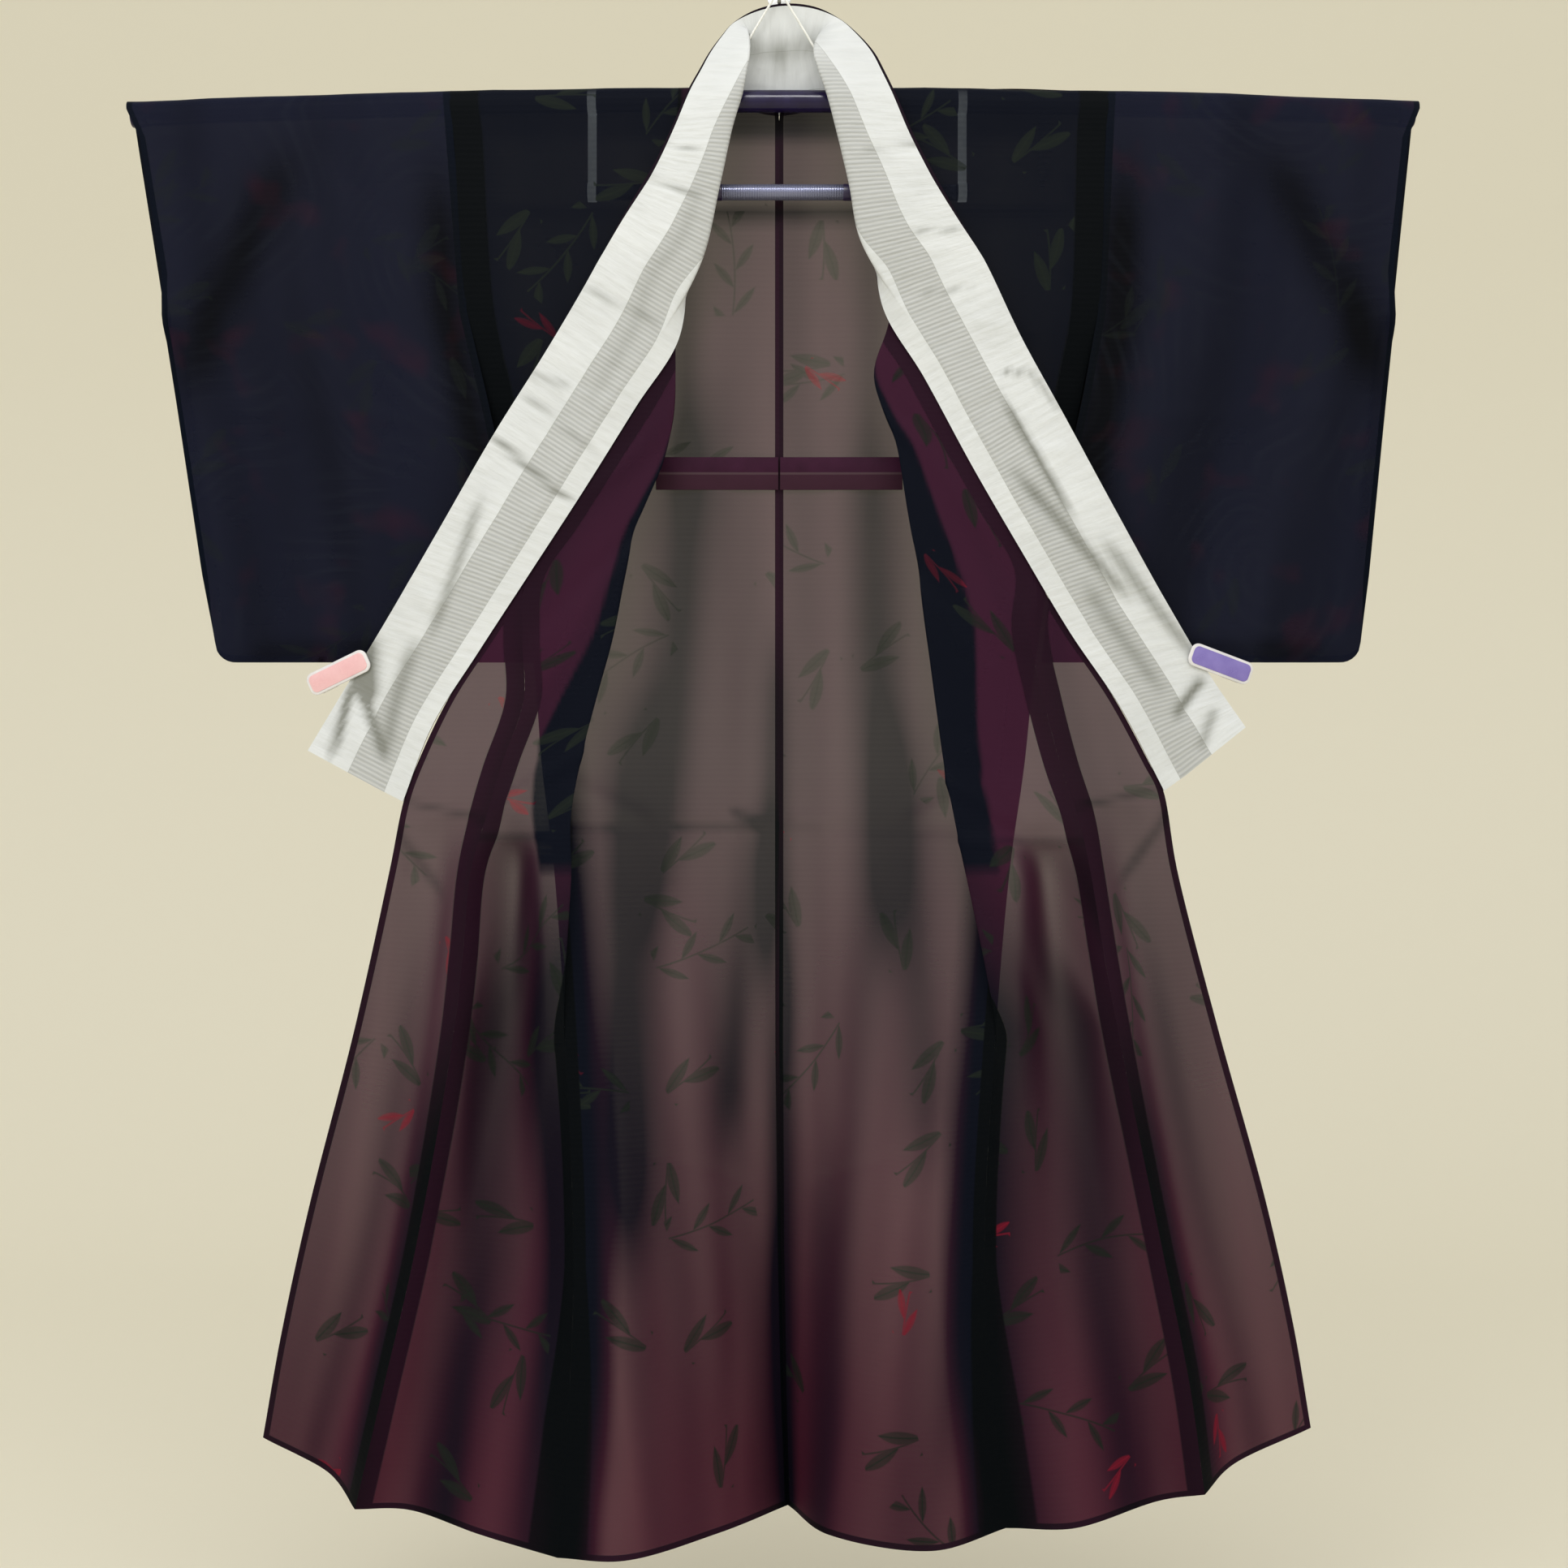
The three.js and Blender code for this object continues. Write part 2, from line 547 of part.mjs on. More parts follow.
function sleeveSolid(side, edges, grow) {
  const hollow = grow < 0;
  const ring = sleeveRing(grow);
  const cuffZ = BAR_Z - CUFF_OPEN;
  return toSolid(
    loft(
      SLEEVE_STATIONS.map((share) =>
        ring.map(([y, z]) => {
          const inner = z > ARMHOLE_Z ? armholeX(edges.armholes, side, z) : along(edges.inner, z);
          const outer = along(edges.outer, z);
          let x = inner + share * (outer - inner);
          if (hollow && share === 0) x -= side * OVER;
          if (hollow && share === 1) x += z > cuffZ ? side * OVER : -side * WALL;
          const reach = Math.abs((1 - share) * (outer - inner));
          const inside = Math.max(SLEEVE_CORNER - reach, 0);
          const raise = SLEEVE_CORNER - Math.sqrt(SLEEVE_CORNER ** 2 - inside ** 2);
          const low = Math.max((CORNER_TOP_Z - z) / (CORNER_TOP_Z - SLEEVE_BOTTOM_Z), 0);
          return V(x, y, z + raise * low - (z > LEVEL_Z ? droop(x) : 0));
        }),
      ),
      ring.findIndex(([, z]) => z < SLEEVE_BOTTOM_Z - grow + 0.001),
    ),
  );
}

function sleeve(side, edges) {
  return fromSolid(sleeveSolid(side, edges, WALL / 2).subtract(sleeveSolid(side, edges, -WALL / 2)));
}

// ---- collar -------------------------------------------------------------------------------------

const COLLAR_COLUMNS = 9;
const ROLL_DEPTH = 3; // half the thickness of the doubled collar, near its roll, below the shoulder

const STAND_DEPTH = 0.5; // the same where the collar stands up behind the neck
const STAND_Z = -103; // above this it stands up
const BEND_SHARE = 0.12; // the bend reaches this far along each side of the roll

// A section of the collar. Where it doubles back at the roll it goes round a small bend.
function collarSection({ seam, roll, free }) {
  const [a, b, c] = [seam, roll, free].map((p) => V(...p));
  const doubled = a.clone().sub(b).normalize().dot(c.clone().sub(b).normalize());
  const bend = b.z < STAND_Z ? ROLL_DEPTH * Math.max(doubled, 0) : STAND_DEPTH;
  const behind = b.clone().lerp(a, BEND_SHARE).add(V(0, bend, 0));
  const before = b.clone().lerp(c, BEND_SHARE).add(V(0, -bend, 0));
  return section([a, behind, b, before, c], COLLAR_COLUMNS);
}

function collarGrid() {
  const whole = [...COLLAR_LEFT, COLLAR_BACK, ...[...COLLAR_RIGHT].reverse()];
  return grid(whole.map(collarSection), 2);
}

// ---- waist tuck ---------------------------------------------------------------------------------

const TUCK_COLUMNS = 6;

// A strip on a back panel's inner face, made from the panel's own points. It starts 1 mm from the seam.
function tuck(panel, side) {
  const inside = moved(panel, tuckSide(panel) * (WALL / 2 + GAP + WALL / 2));
  const columns = inside[0].map((_, c) => smooth(inside.map((row) => row[c])));
  const rows = [0, 0.5, 1].map((share) => {
    const z = TUCK_Z + TUCK_HEIGHT * (0.5 - share);
    const line = smooth(columns.map((column) => atHeight(column, z)));
    const step = (TUCK_HALF - 1) / (TUCK_COLUMNS - 1);
    return Array.from({ length: TUCK_COLUMNS }, (_, i) => atAcross(line, side * (1 + step * i), side));
  });
  return wall(rows);
}

function tuckSide(panel) {
  const row = Math.floor(panel.length / 2);
  return normals(panel)[row][2].y < 0 ? 1 : -1;
}

// A line that runs steadily outwards: the point at x.
function atAcross(curve, x, side) {
  let near = 0;
  let far = 1;
  for (let i = 0; i < 40; i += 1) {
    const middle = (near + far) / 2;
    if (side * curve.getPoint(middle).x < side * x) near = middle;
    else far = middle;
  }
  return curve.getPoint((near + far) / 2);
}

// ---- hanger -------------------------------------------------------------------------------------

function hangerBar() {
  const steps = 10;
  const at = (x) => V(x, BAR_Y, BAR_Z - droop(x));
  const line = Array.from({ length: steps + 1 }, (_, i) =>
    at(THREE.MathUtils.lerp(BAR_LEFT, BAR_RIGHT, i / steps)),
  );
  const caps = [
    [BAR_LEFT, BAR_LEFT + CAP_LENGTH],
    [BAR_RIGHT - CAP_LENGTH, BAR_RIGHT],
  ];
  return joined([tube(line, BAR_RADIUS, 16), ...caps.map((ends) => tube(ends.map(at), CAP_RADIUS, 24))]);
}

function lowerBar() {
  const ends = [V(LOWER_BAR_LEFT, BAR_Y, LOWER_BAR_Z), V(LOWER_BAR_RIGHT, BAR_Y, LOWER_BAR_Z)];
  return tube(ends, LOWER_BAR_RADIUS, 20);
}

function extruded(outline, depth) {
  return new THREE.ExtrudeGeometry(outline, { depth, bevelEnabled: false, curveSegments: 8 });
}

// A flat strap: a band round the upper bar, a band round the lower bar and the tape between them.
function strap(x) {
  const top = BAR_Z - droop(x);
  const band = (radius, z) => {
    const outline = new THREE.Shape().absarc(0, 0, radius + STRAP_THICK, 0, 2 * Math.PI);
    outline.holes.push(new THREE.Path().absarc(0, 0, radius, 0, 2 * Math.PI));
    const made = extruded(outline, STRAP_WIDTH);
    made.rotateY(Math.PI / 2);
    made.translate(x - STRAP_WIDTH / 2, BAR_Y, z);
    return merged(made);
  };
  const from = top - BAR_RADIUS - GAP - STRAP_THICK / 2;
  const to = LOWER_BAR_Z + LOWER_BAR_RADIUS + GAP + STRAP_THICK / 2;
  const tape = new THREE.BoxGeometry(STRAP_WIDTH, STRAP_THICK, from - to);
  tape.translate(x, BAR_Y, (from + to) / 2);
  return joined([
    band(BAR_RADIUS + GAP, top),
    band(LOWER_BAR_RADIUS + GAP, LOWER_BAR_Z),
    merged(tape),
  ]);
}

// The same geometry with only positions, and each shared corner once.
function merged(made) {
  const source = made.index ? made.toNonIndexed() : made;
  const found = new Map();
  const vertices = [];
  const index = [];
  const at = source.attributes.position;
  for (let i = 0; i < at.count; i += 1) {
    const point = V(at.getX(i), at.getY(i), at.getZ(i));
    const key = point.toArray().map((n) => n.toFixed(3)).join();
    if (!found.has(key)) {
      found.set(key, vertices.length);
      vertices.push(point);
    }
    index.push(found.get(key));
  }
  const triangles = [];
  for (let i = 0; i < index.length; i += 3) triangles.push(index.slice(i, i + 3));
  return geometry(vertices, triangles);
}

// The hanging cord: a loop round the bar on each side and one length over the hook.
function hangingCord() {
  const bend = HOOK_WIRE + GAP + CORD_RADIUS;
  const loopRadius = BAR_RADIUS + GAP + CORD_RADIUS;
  const foot = BAR_Z + loopRadius;
  const lean = Math.atan2(CORD_SPREAD, HOOK_Z - foot);
  const over = [];
  for (let i = -3; i <= 3; i += 1) {
    const angle = ((Math.PI / 2 - lean) * i) / 3;
    over.push(V(bend * Math.sin(angle), BAR_Y, HOOK_Z + bend * Math.cos(angle)));
  }
  const legs = [V(-CORD_SPREAD, BAR_Y, foot), ...over, V(CORD_SPREAD, BAR_Y, foot)];
  const loops = [-1, 1].map((side) => {
    const loop = new THREE.TorusGeometry(loopRadius, CORD_RADIUS, 6, 14);
    loop.rotateY(Math.PI / 2);
    loop.translate(side * CORD_SPREAD, BAR_Y, BAR_Z - droop(CORD_SPREAD));
    return merged(loop);
  });
  return joined([tube(legs, CORD_RADIUS, 8), ...loops]);
}

// A plain wall hook: a round plate, an arm straight out of it and a turned-up tip.
function wallHook() {
  const plate = tube([V(0, 0, 0), V(0, -PLATE_THICK, 0)], PLATE_RADIUS, 24);
  const bend = 6;
  const arm = [V(0, -PLATE_THICK / 2, HOOK_Z)];
  for (let i = 0; i <= 4; i += 1) {
    const angle = (Math.PI / 2) * (i / 4);
    const y = -HOOK_REACH + bend * (1 - Math.sin(angle));
    arm.push(V(0, y, HOOK_Z + bend * (1 - Math.cos(angle))));
  }
  arm.push(V(0, -HOOK_REACH, HOOK_Z + HOOK_RISE));
  return joined([plate, tube(arm, HOOK_WIRE, 12)]);
}

// ---- clips --------------------------------------------------------------------------------------
// A clip bites the collar's free edge and the sleeve's lower edge: a long front jaw with round ends, a
// short back jaw and the block that joins them, beyond both edges.

const CLIP_LENGTH = 73;
const CLIP_HEIGHT = 24;
const CLIP_JAW = 3; // thickness of a jaw
const CLIP_BITE = 12; // between the jaws

function clip(side, middle, tilt, yaw) {
  const jaw = (length, x, y) => {
    const half = (length - CLIP_HEIGHT) / 2;
    const outline = new THREE.Shape();
    outline.absarc(half, 0, CLIP_HEIGHT / 2, -Math.PI / 2, Math.PI / 2);
    outline.absarc(-half, 0, CLIP_HEIGHT / 2, Math.PI / 2, (3 * Math.PI) / 2);
    const made = extruded(outline, CLIP_JAW);
    made.rotateX(Math.PI / 2);
    made.translate(x, y + CLIP_JAW, 0);
    return merged(made);
  };
  const outward = side * CLIP_LENGTH * 0.3;
  const front = jaw(CLIP_LENGTH, 0, -CLIP_JAW);
  const back = jaw(CLIP_LENGTH * 0.4, outward, CLIP_BITE);
  const block = new THREE.BoxGeometry(CLIP_LENGTH * 0.2, CLIP_BITE + CLIP_JAW, 5);
  block.translate(outward, (CLIP_BITE - 1) / 2, 3.5 - CLIP_HEIGHT / 2);
  const whole = joined([front, back, merged(block)]);
  whole.rotateZ(yaw);
  whole.rotateY(tilt);
  whole.translate(...middle);
  return whole;
}

// ---- the garment and its hanger -----------------------------------------------------------------

const MATERIALS = {
  cloth: { color: 0x2a1824, roughness: 0.55, metalness: 0 },
  sleeve: { color: 0x151a26, roughness: 0.55, metalness: 0 },
  collar: { color: 0x0e1420, roughness: 0.6, metalness: 0 },
  lining: { color: 0xe9ebe6, roughness: 0.7, metalness: 0 },
  bar: { color: 0x3c2f52, roughness: 0.3, metalness: 0.1 },
  lowerBar: { color: 0x565a72, roughness: 0.35, metalness: 0.4 },
  strap: { color: 0x9a9a98, roughness: 0.6, metalness: 0 },
  cord: { color: 0xf2f2ee, roughness: 0.8, metalness: 0 },
  hook: { color: 0xb8b8b4, roughness: 0.3, metalness: 1 },
  clipPink: { color: 0xe58fb0, roughness: 0.35, metalness: 0 },
  clipPurple: { color: 0x8a62a8, roughness: 0.35, metalness: 0 },
};

const garment = new THREE.Group();

function add(name, made, material) {
  const mesh = new THREE.Mesh(made, new THREE.MeshStandardMaterial(MATERIALS[material]));
  mesh.name = name;
  garment.add(mesh);
}

const backLeft = backPanel(-1, BACK_LEFT, LIFT_LEFT, FRONT_LEFT);
const backRight = backPanel(1, BACK_RIGHT, LIFT_RIGHT, FRONT_RIGHT);
const frontLeft = frontPanel(-1, FRONT_LEFT, LIFT_LEFT, SEAM_LEFT, OKUMI_LEFT);
const frontRight = frontPanel(1, FRONT_RIGHT, LIFT_RIGHT, SEAM_RIGHT, OKUMI_RIGHT);
const sideEdges = (...panels) => panels.map((panel) => smooth(panel.map((row) => row.at(-1))));
const armholesLeft = sideEdges(backLeft, frontLeft);
const armholesRight = sideEdges(backRight, frontRight);
add('back_left', wall(backLeft), 'cloth');
add('back_right', wall(backRight), 'cloth');
add('front_left', wall(frontLeft), 'cloth');
add('front_right', wall(frontRight), 'cloth');
add('okumi_left', wall(okumiPanel(OKUMI_LEFT, LIFT_LEFT, SEAM_LEFT, FRONT_LEFT)), 'cloth');
add('okumi_right', wall(okumiPanel(OKUMI_RIGHT, LIFT_RIGHT, SEAM_RIGHT, FRONT_RIGHT)), 'cloth');
add('sleeve_left', sleeve(-1, { ...SLEEVE_LEFT, armholes: armholesLeft }), 'sleeve');
add('sleeve_right', sleeve(1, { ...SLEEVE_RIGHT, armholes: armholesRight }), 'sleeve');

const collar = collarGrid();
const inside = normals(collar)[4][4].y < 0 ? 1 : -1; // the side of the grid that carries the lining
const liningFrom = WALL / 2 + GAP;
add('collar_cloth', wall(collar), 'collar');
add('collar_lining', wall(collar, inside * liningFrom, inside * (liningFrom + LINING_WALL)), 'lining');

add('tuck_left', tuck(backLeft, -1), 'cloth');
add('tuck_right', tuck(backRight, 1), 'cloth');

add('hanger_bar', hangerBar(), 'bar');
add('lower_bar', lowerBar(), 'lowerBar');
add('strap_left', strap(STRAP_LEFT_X), 'strap');
add('strap_right', strap(STRAP_RIGHT_X), 'strap');
add('hanging_cord', hangingCord(), 'cord');
add('wall_hook', wallHook(), 'hook');
add('clip_left', clip(-1, [-455, -24.65, -703], -0.42, -0.27), 'clipPink');
add('clip_right', clip(1, [456, -24.2, -694], 0.33, 0.27), 'clipPurple');

export default garment;
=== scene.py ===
"""Sheer summer kimono, hung open on a two-bar hanger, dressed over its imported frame."""

import math

import bmesh
import bpy
from mathutils import Matrix, Vector, noise


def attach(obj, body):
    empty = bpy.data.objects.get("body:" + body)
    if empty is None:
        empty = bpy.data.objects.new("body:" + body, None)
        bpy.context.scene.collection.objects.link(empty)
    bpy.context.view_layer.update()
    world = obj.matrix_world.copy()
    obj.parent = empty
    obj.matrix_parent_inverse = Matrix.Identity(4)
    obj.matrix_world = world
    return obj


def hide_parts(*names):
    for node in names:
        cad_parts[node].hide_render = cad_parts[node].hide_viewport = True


bl_info = {
    "name": "Summer Kimono",
    "version": (1, 0, 0),
    "blender": (4, 5, 0),
    "location": "3D View > Sidebar > Kimono",
    "description": "Builds a sheer summer kimono on its hanger, with its stage",
    "category": "Add Mesh",
}

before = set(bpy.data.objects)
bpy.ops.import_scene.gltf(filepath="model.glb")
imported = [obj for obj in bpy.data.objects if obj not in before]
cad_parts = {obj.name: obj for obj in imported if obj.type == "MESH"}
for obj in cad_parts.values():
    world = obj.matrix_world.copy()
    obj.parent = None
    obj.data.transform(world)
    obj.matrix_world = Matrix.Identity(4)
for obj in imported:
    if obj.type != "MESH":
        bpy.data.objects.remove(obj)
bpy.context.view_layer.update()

MM = 0.001  # the tables below are in millimetres

# ---- sizes that the pieces share ----------------------------------------------------------------

BAR_Y = -24
BAR_Z = -113
BAR_RADIUS = 11.4
BAR_LEFT = -668
BAR_RIGHT = 655
BAR_DROOP = 14
CLOTH_RADIUS = 13.9  # cloth over the bar and its straps
CAP_LENGTH = 16
CAP_RADIUS = 12.7
LOWER_BAR_Z = -207
LOWER_BAR = (-198, 194)
LOWER_RADIUS = 8.2
LOWER_SLEEVE_RADIUS = 8.6
# the ends of each sleeve on the lower bar, and how far its edges are rounded
LOWER_SLEEVES = (((-199, -186), 1), ((182, 195), 1), ((-69, -59), 0.8), ((66, 76), 0.8))
NECK_X = 86
SHOULDER_X = 338.5
OPEN_SIDE_Z = -462  # the side seam begins below this; above it front and back are apart
CREASE_Z = -905
HEM_Z = -1567
SLEEVE_TOP_Z = -140  # above this a sleeve's two layers are drawn to the bar
SLEEVE_BOTTOM_Z = -692
CORNER_TOP_Z = -600
SLEEVE_CORNER = 21
CUFF_END_Z = -343  # open above this, sewn below it
CUFF_STEP = 9  # by which the front layer stays short of the back layer at the cuff
CUFF_EASE = 60  # height over which it comes to that
SEWN_WIDTH = 14  # over which the two layers draw together at the sewn edge
BOW_TOP_Z = -150  # a sleeve follows the bar's droop down to here, and less and less below
BOW_END_Z = -420
BAR_DRAW = 24  # height over which a sleeve's layers are drawn to the bar
FOLD_Z = -345  # above this the collar is doubled
UNDER_DOUBLED = 3.1  # from the collar's seam line back to the panel under it
UNDER_SINGLE = 1.5
NECK_BACK = (3, -9.5, -117.5)  # where a back panel meets the collar at the centre
ROLL_SHARE = 0.12  # of the collar's width each side of its roll, which is bent there
ROLL_BEND = 3
FLAT_ROLL_Z = -103  # above this the collar opens flat round the neck
FLAT_BEND = 0.5
WELD = 0.00005  # points nearer than this are one point of cloth, in metres
MERGE = 0.000005  # the same for hard pieces
SEAM_HOLD = 0.02  # metres from a seam within which folds fade out
PATTERN_STEP = (0.37, 0.61)  # metres by which each panel's pattern is moved on from the last one's
STEEPEST = 0.3  # a layer's slant counts up to this share of a face turned to the wall
LOW_FADE = 0.3  # metres below the crease over which the panels' lower look comes in
SIDE_DARK = (0.05, 0.02)  # metres from the side seam at which the dark of its double hems starts and is full
TURN_FADE = 0.004  # soft edge of the three-layer strip, in metres

# ---- tables -------------------------------------------------------------------------------------


def table(columns, *rows):
    """Rows under named columns, where None leaves a place out."""
    return [{name: value for name, value in zip(columns, row) if value is not None} for row in rows]


COLLAR_COLUMNS = ("seam", "roll", "free")
BACK_COLUMNS = ("z", "centre", "slope", "swell", "side")
FRONT_COLUMNS = ("z", "side", "turn", "seam", "near", "far")
OKUMI_COLUMNS = ("z", "seam", "fall", "edge")
PROFILE_COLUMNS = ("z", "front", "back")
STROKE = ("across", "along", "width", "depth")

# The collar's stations from its lower end to the back of the neck: the seam on the body, the roll over
# which it turns outward, and the free edge.

COLLAR_LEFT = table(
    COLLAR_COLUMNS,
    ((-384, -50, -836), (-410, -46, -823), (-485, -30, -784)),
    ((-353, -54, -758), (-377, -48, -748), (-446, -24, -717)),
    ((-306, -58, -684), (-332, -54, -676), (-404, -34, -651)),
    ((-250, -59, -598), (-276, -60, -589), (-349, -45, -560)),
    ((-200, -55, -520), (-225, -58, -508), (-293, -49, -464)),
    ((-146, -49, -432), (-168, -53, -420), (-237, -50, -375)),
    ((-103, -44, -362), (-118, -50, -352), (-195, -51, -304)),
    ((-96, -42, -290), (-80, -53, -284), (-160, -52, -239)),
    ((-92, -41, -215), (-61, -54, -206), (-129, -52, -187)),
    ((-88, -40, -150), (-48, -53, -146), (-110, -51, -148)),
    ((-85, -38.8, -118), (-38, -51, -112), (-94, -49, -110)),
    ((-84.8, -34.5, -103), (-34, -47, -90), (-82, -45, -87)),
    ((-84.5, -24, -99), (-31, -41, -70), (-72, -38, -67)),
    ((-83, -13, -104), (-31, -32, -52), (-60, -30, -48)),
    ((-74, -9, -110.5), (-33, -22, -38), (-48, -23, -32)),
    ((-40, -6.8, -115.8), (-22, -11, -60), (-26, -18, -17)),
)
COLLAR_BACK = {"seam": (0, -6, -123), "roll": (1, -10, -62), "free": (3, -15, -9)}
COLLAR_RIGHT = table(
    COLLAR_COLUMNS,
    ((393, -50, -825), (416, -46, -809), (480, -30, -760)),
    ((347, -55, -739), (372, -49, -729), (448, -24, -712)),
    ((296, -58, -664), (321, -54, -655), (397, -34, -630)),
    ((246, -59, -580), (270, -60, -569), (346, -45, -542)),
    ((198, -55, -496), (221, -58, -485), (291, -49, -442)),
    ((148, -49, -402), (168, -53, -390), (246, -50, -360)),
    ((107, -44, -331), (120, -51, -322), (211, -51, -287)),
    ((100, -42, -268), (84, -53, -262), (184, -52, -240)),
    ((95, -41, -210), (72, -54, -204), (160, -52, -198)),
    ((90, -40, -155), (60, -53, -154), (137, -51, -154)),
    ((85, -38.8, -118), (49, -51, -112), (119, -49, -112)),
    ((84.8, -34.5, -103), (41, -47, -88), (108, -45, -88)),
    ((84.5, -24, -99), (36, -41, -68), (98, -38, -67)),
    ((83, -13, -104), (39, -32, -51), (82, -30, -46)),
    ((74, -9, -110.5), (46, -22, -37), (62, -23, -27)),
    ((40, -6.8, -115.8), (28, -11, -60), (36, -18, -13)),
)
COLLAR_FRONT_ROWS = 11

# Body sections at height z, each column as (x, y), from the centre of the back outwards.
BACK_LEFT = table(
    BACK_COLUMNS,
    (-128, (0, -6), (-110, -7.5), (-220, -8.5), (-336.5, -9.5)),
    (-330, (0, -6), (-105, -7), (-212, -7), (-322, -8)),
    (-420, (0, -6), (-101, -7), (-203, -7.5), (-302, -8.5)),
    (-480, (0, -6), (-98, -7), (-198, -8), (-289, -9)),
    (-690, (0, -6), (-84, -9), (-172, -12), (-254, -16)),
    (-800, (0, -7), (-82, -13), (-168, -30), (-243, -40)),
    (-905, (0, -8), (-80, -20), (-163, -55), (-227, -76)),
    (-1090, (0, -9), (-75, -40), (-156, -86), (-213, -96)),
    (-1300, (2, -9), (-68, -62), (-150, -120), (-204, -116)),
    (-1450, (5, -10), (-64, -76), (-150, -142), (-209, -132)),
    (-1567, (9, -10), (-60, -90), (-152, -160), (-217, -147)),
)
BACK_RIGHT = table(
    BACK_COLUMNS,
    (-128, (0, -6), (110, -7.5), (220, -8.5), (337, -9.5)),
    (-330, (0, -6), (108, -7), (218, -7), (329, -8)),
    (-420, (0, -6), (105, -7), (212, -7.5), (314, -8.5)),
    (-480, (0, -6), (102, -7), (206, -8), (301, -9)),
    (-690, (0, -6), (88, -9), (178, -12), (265, -16)),
    (-800, (0, -7), (82, -13), (168, -30), (251, -40)),
    (-905, (0, -8), (76, -20), (162, -55), (233, -74)),
    (-1090, (0, -9), (70, -42), (156, -84), (216, -92)),
    (-1300, (2, -9), (62, -66), (150, -114), (205, -106)),
    (-1450, (5, -10), (56, -84), (150, -132), (214, -114)),
    (-1567, (9, -10), (50, -100), (152, -142), (225, -118)),
)
FRONT_LEFT = table(
    FRONT_COLUMNS,
    (-150, (-334.5, -37)),
    (-330, (-322, -30)),
    (-420, (-302, -20), (-107, -43)),
    (-480, (-289, -17), (-116, -45)),
    (-556, (-277, -18), (-146, -51)),
    (-610, (-268, -20), (-158, -55)),
    (-673, (-257, -24), (-170, -59), (-261, -63)),
    (-731, (-250, -32), (-185, -66), (-259, -65)),
    (-800, (-243, -47), (-201, -76), (-282, -67)),
    (-855, (-235, -67), (-209, -87), (-298, -69)),
    (-905, (-227, -80), (-208, -91), (-312, -71), (-240, -87), (-270, -46)),
    (-1000, (-219, -90), (-213, -99), (-320, -76), (-236, -95), (-274, -46)),
    (-1090, (-213, -98), None, (-330, -82), (-236, -88), (-280, -46)),
    (-1300, (-204, -117), None, (-365, -92), (-254, -72), (-322, -62)),
    (-1450, (-209, -133), None, (-398, -98), (-280, -98), (-352, -70)),
    (-1567, (-217, -148), None, (-424, -101), (-300, -114), (-376, -76)),
)
FRONT_RIGHT = table(
    FRONT_COLUMNS,
    (-150, (335.5, -37)),
    (-330, (329, -30)),
    (-400, (316, -20), (97, -43)),
    (-467, (303, -17), (119, -46)),
    (-540, (291, -18), (131, -51)),
    (-600, (281, -20), (141, -55)),
    (-660, (270, -24), (149, -60), (254, -63)),
    (-731, (260, -32), (158, -67), (268, -65)),
    (-800, (251, -48), (167, -76), (286, -67)),
    (-855, (242, -67), (177, -87), (304, -69)),
    (-905, (233, -80), (187, -91), (315, -71), (238, -91), (272, -48)),
    (-1000, (224, -89), (206, -100), (329, -76), (241, -94), (282, -48)),
    (-1090, (216, -95), None, (344, -82), (242, -88), (292, -50)),
    (-1300, (205, -107), None, (383, -92), (262, -82), (335, -66)),
    (-1450, (214, -116), None, (411, -97), (280, -104), (360, -76)),
    (-1567, (225, -120), None, (426, -99), (290, -130), (386, -84)),
)
OKUMI_LEFT = table(
    OKUMI_COLUMNS,
    (-611,),
    (-632, (-263, -60.5)),
    (-673, (-261, -63)),
    (-731, (-259, -65)),
    (-800, (-282, -67)),
    (-835, (-292, -68.3)),
    (-905, (-312, -71), (-352, -44), (-398, -48)),
    (-1090, (-330, -82), (-384, -42), (-436, -38)),
    (-1300, (-365, -92), (-412, -44), (-485, -30)),
    (-1450, (-398, -98), (-440, -46), (-515, -24)),
    (-1567, (-424, -101), (-462, -48), (-534, -20)),
)
OKUMI_RIGHT = table(
    OKUMI_COLUMNS,
    (-601,),
    (-622, (260, -60.5)),
    (-660, (254, -63)),
    (-731, (268, -65)),
    (-800, (286, -67)),
    (-824, (294, -68)),
    (-905, (315, -71), (358, -44), (407, -47)),
    (-1090, (344, -82), (396, -42), (450, -38)),
    (-1300, (383, -92), (430, -44), (502, -30)),
    (-1450, (411, -97), (458, -46), (532, -24)),
    (-1567, (426, -99), (464, -52), (550, -20)),
)
# How far the hem is raised at each line; the rise grows from the crease downwards.
LIFT_LEFT = {"centre": 0, "slope": -3, "swell": -8, "side": -9, "turn": 0, "near": 4, "far": 16,
             "seam": 24, "fall": 45, "edge": 73}
LIFT_RIGHT = {"centre": 0, "slope": -2, "swell": -4, "side": 11, "turn": 0, "near": 14, "far": 28,
              "seam": 38, "fall": 55, "edge": 83}

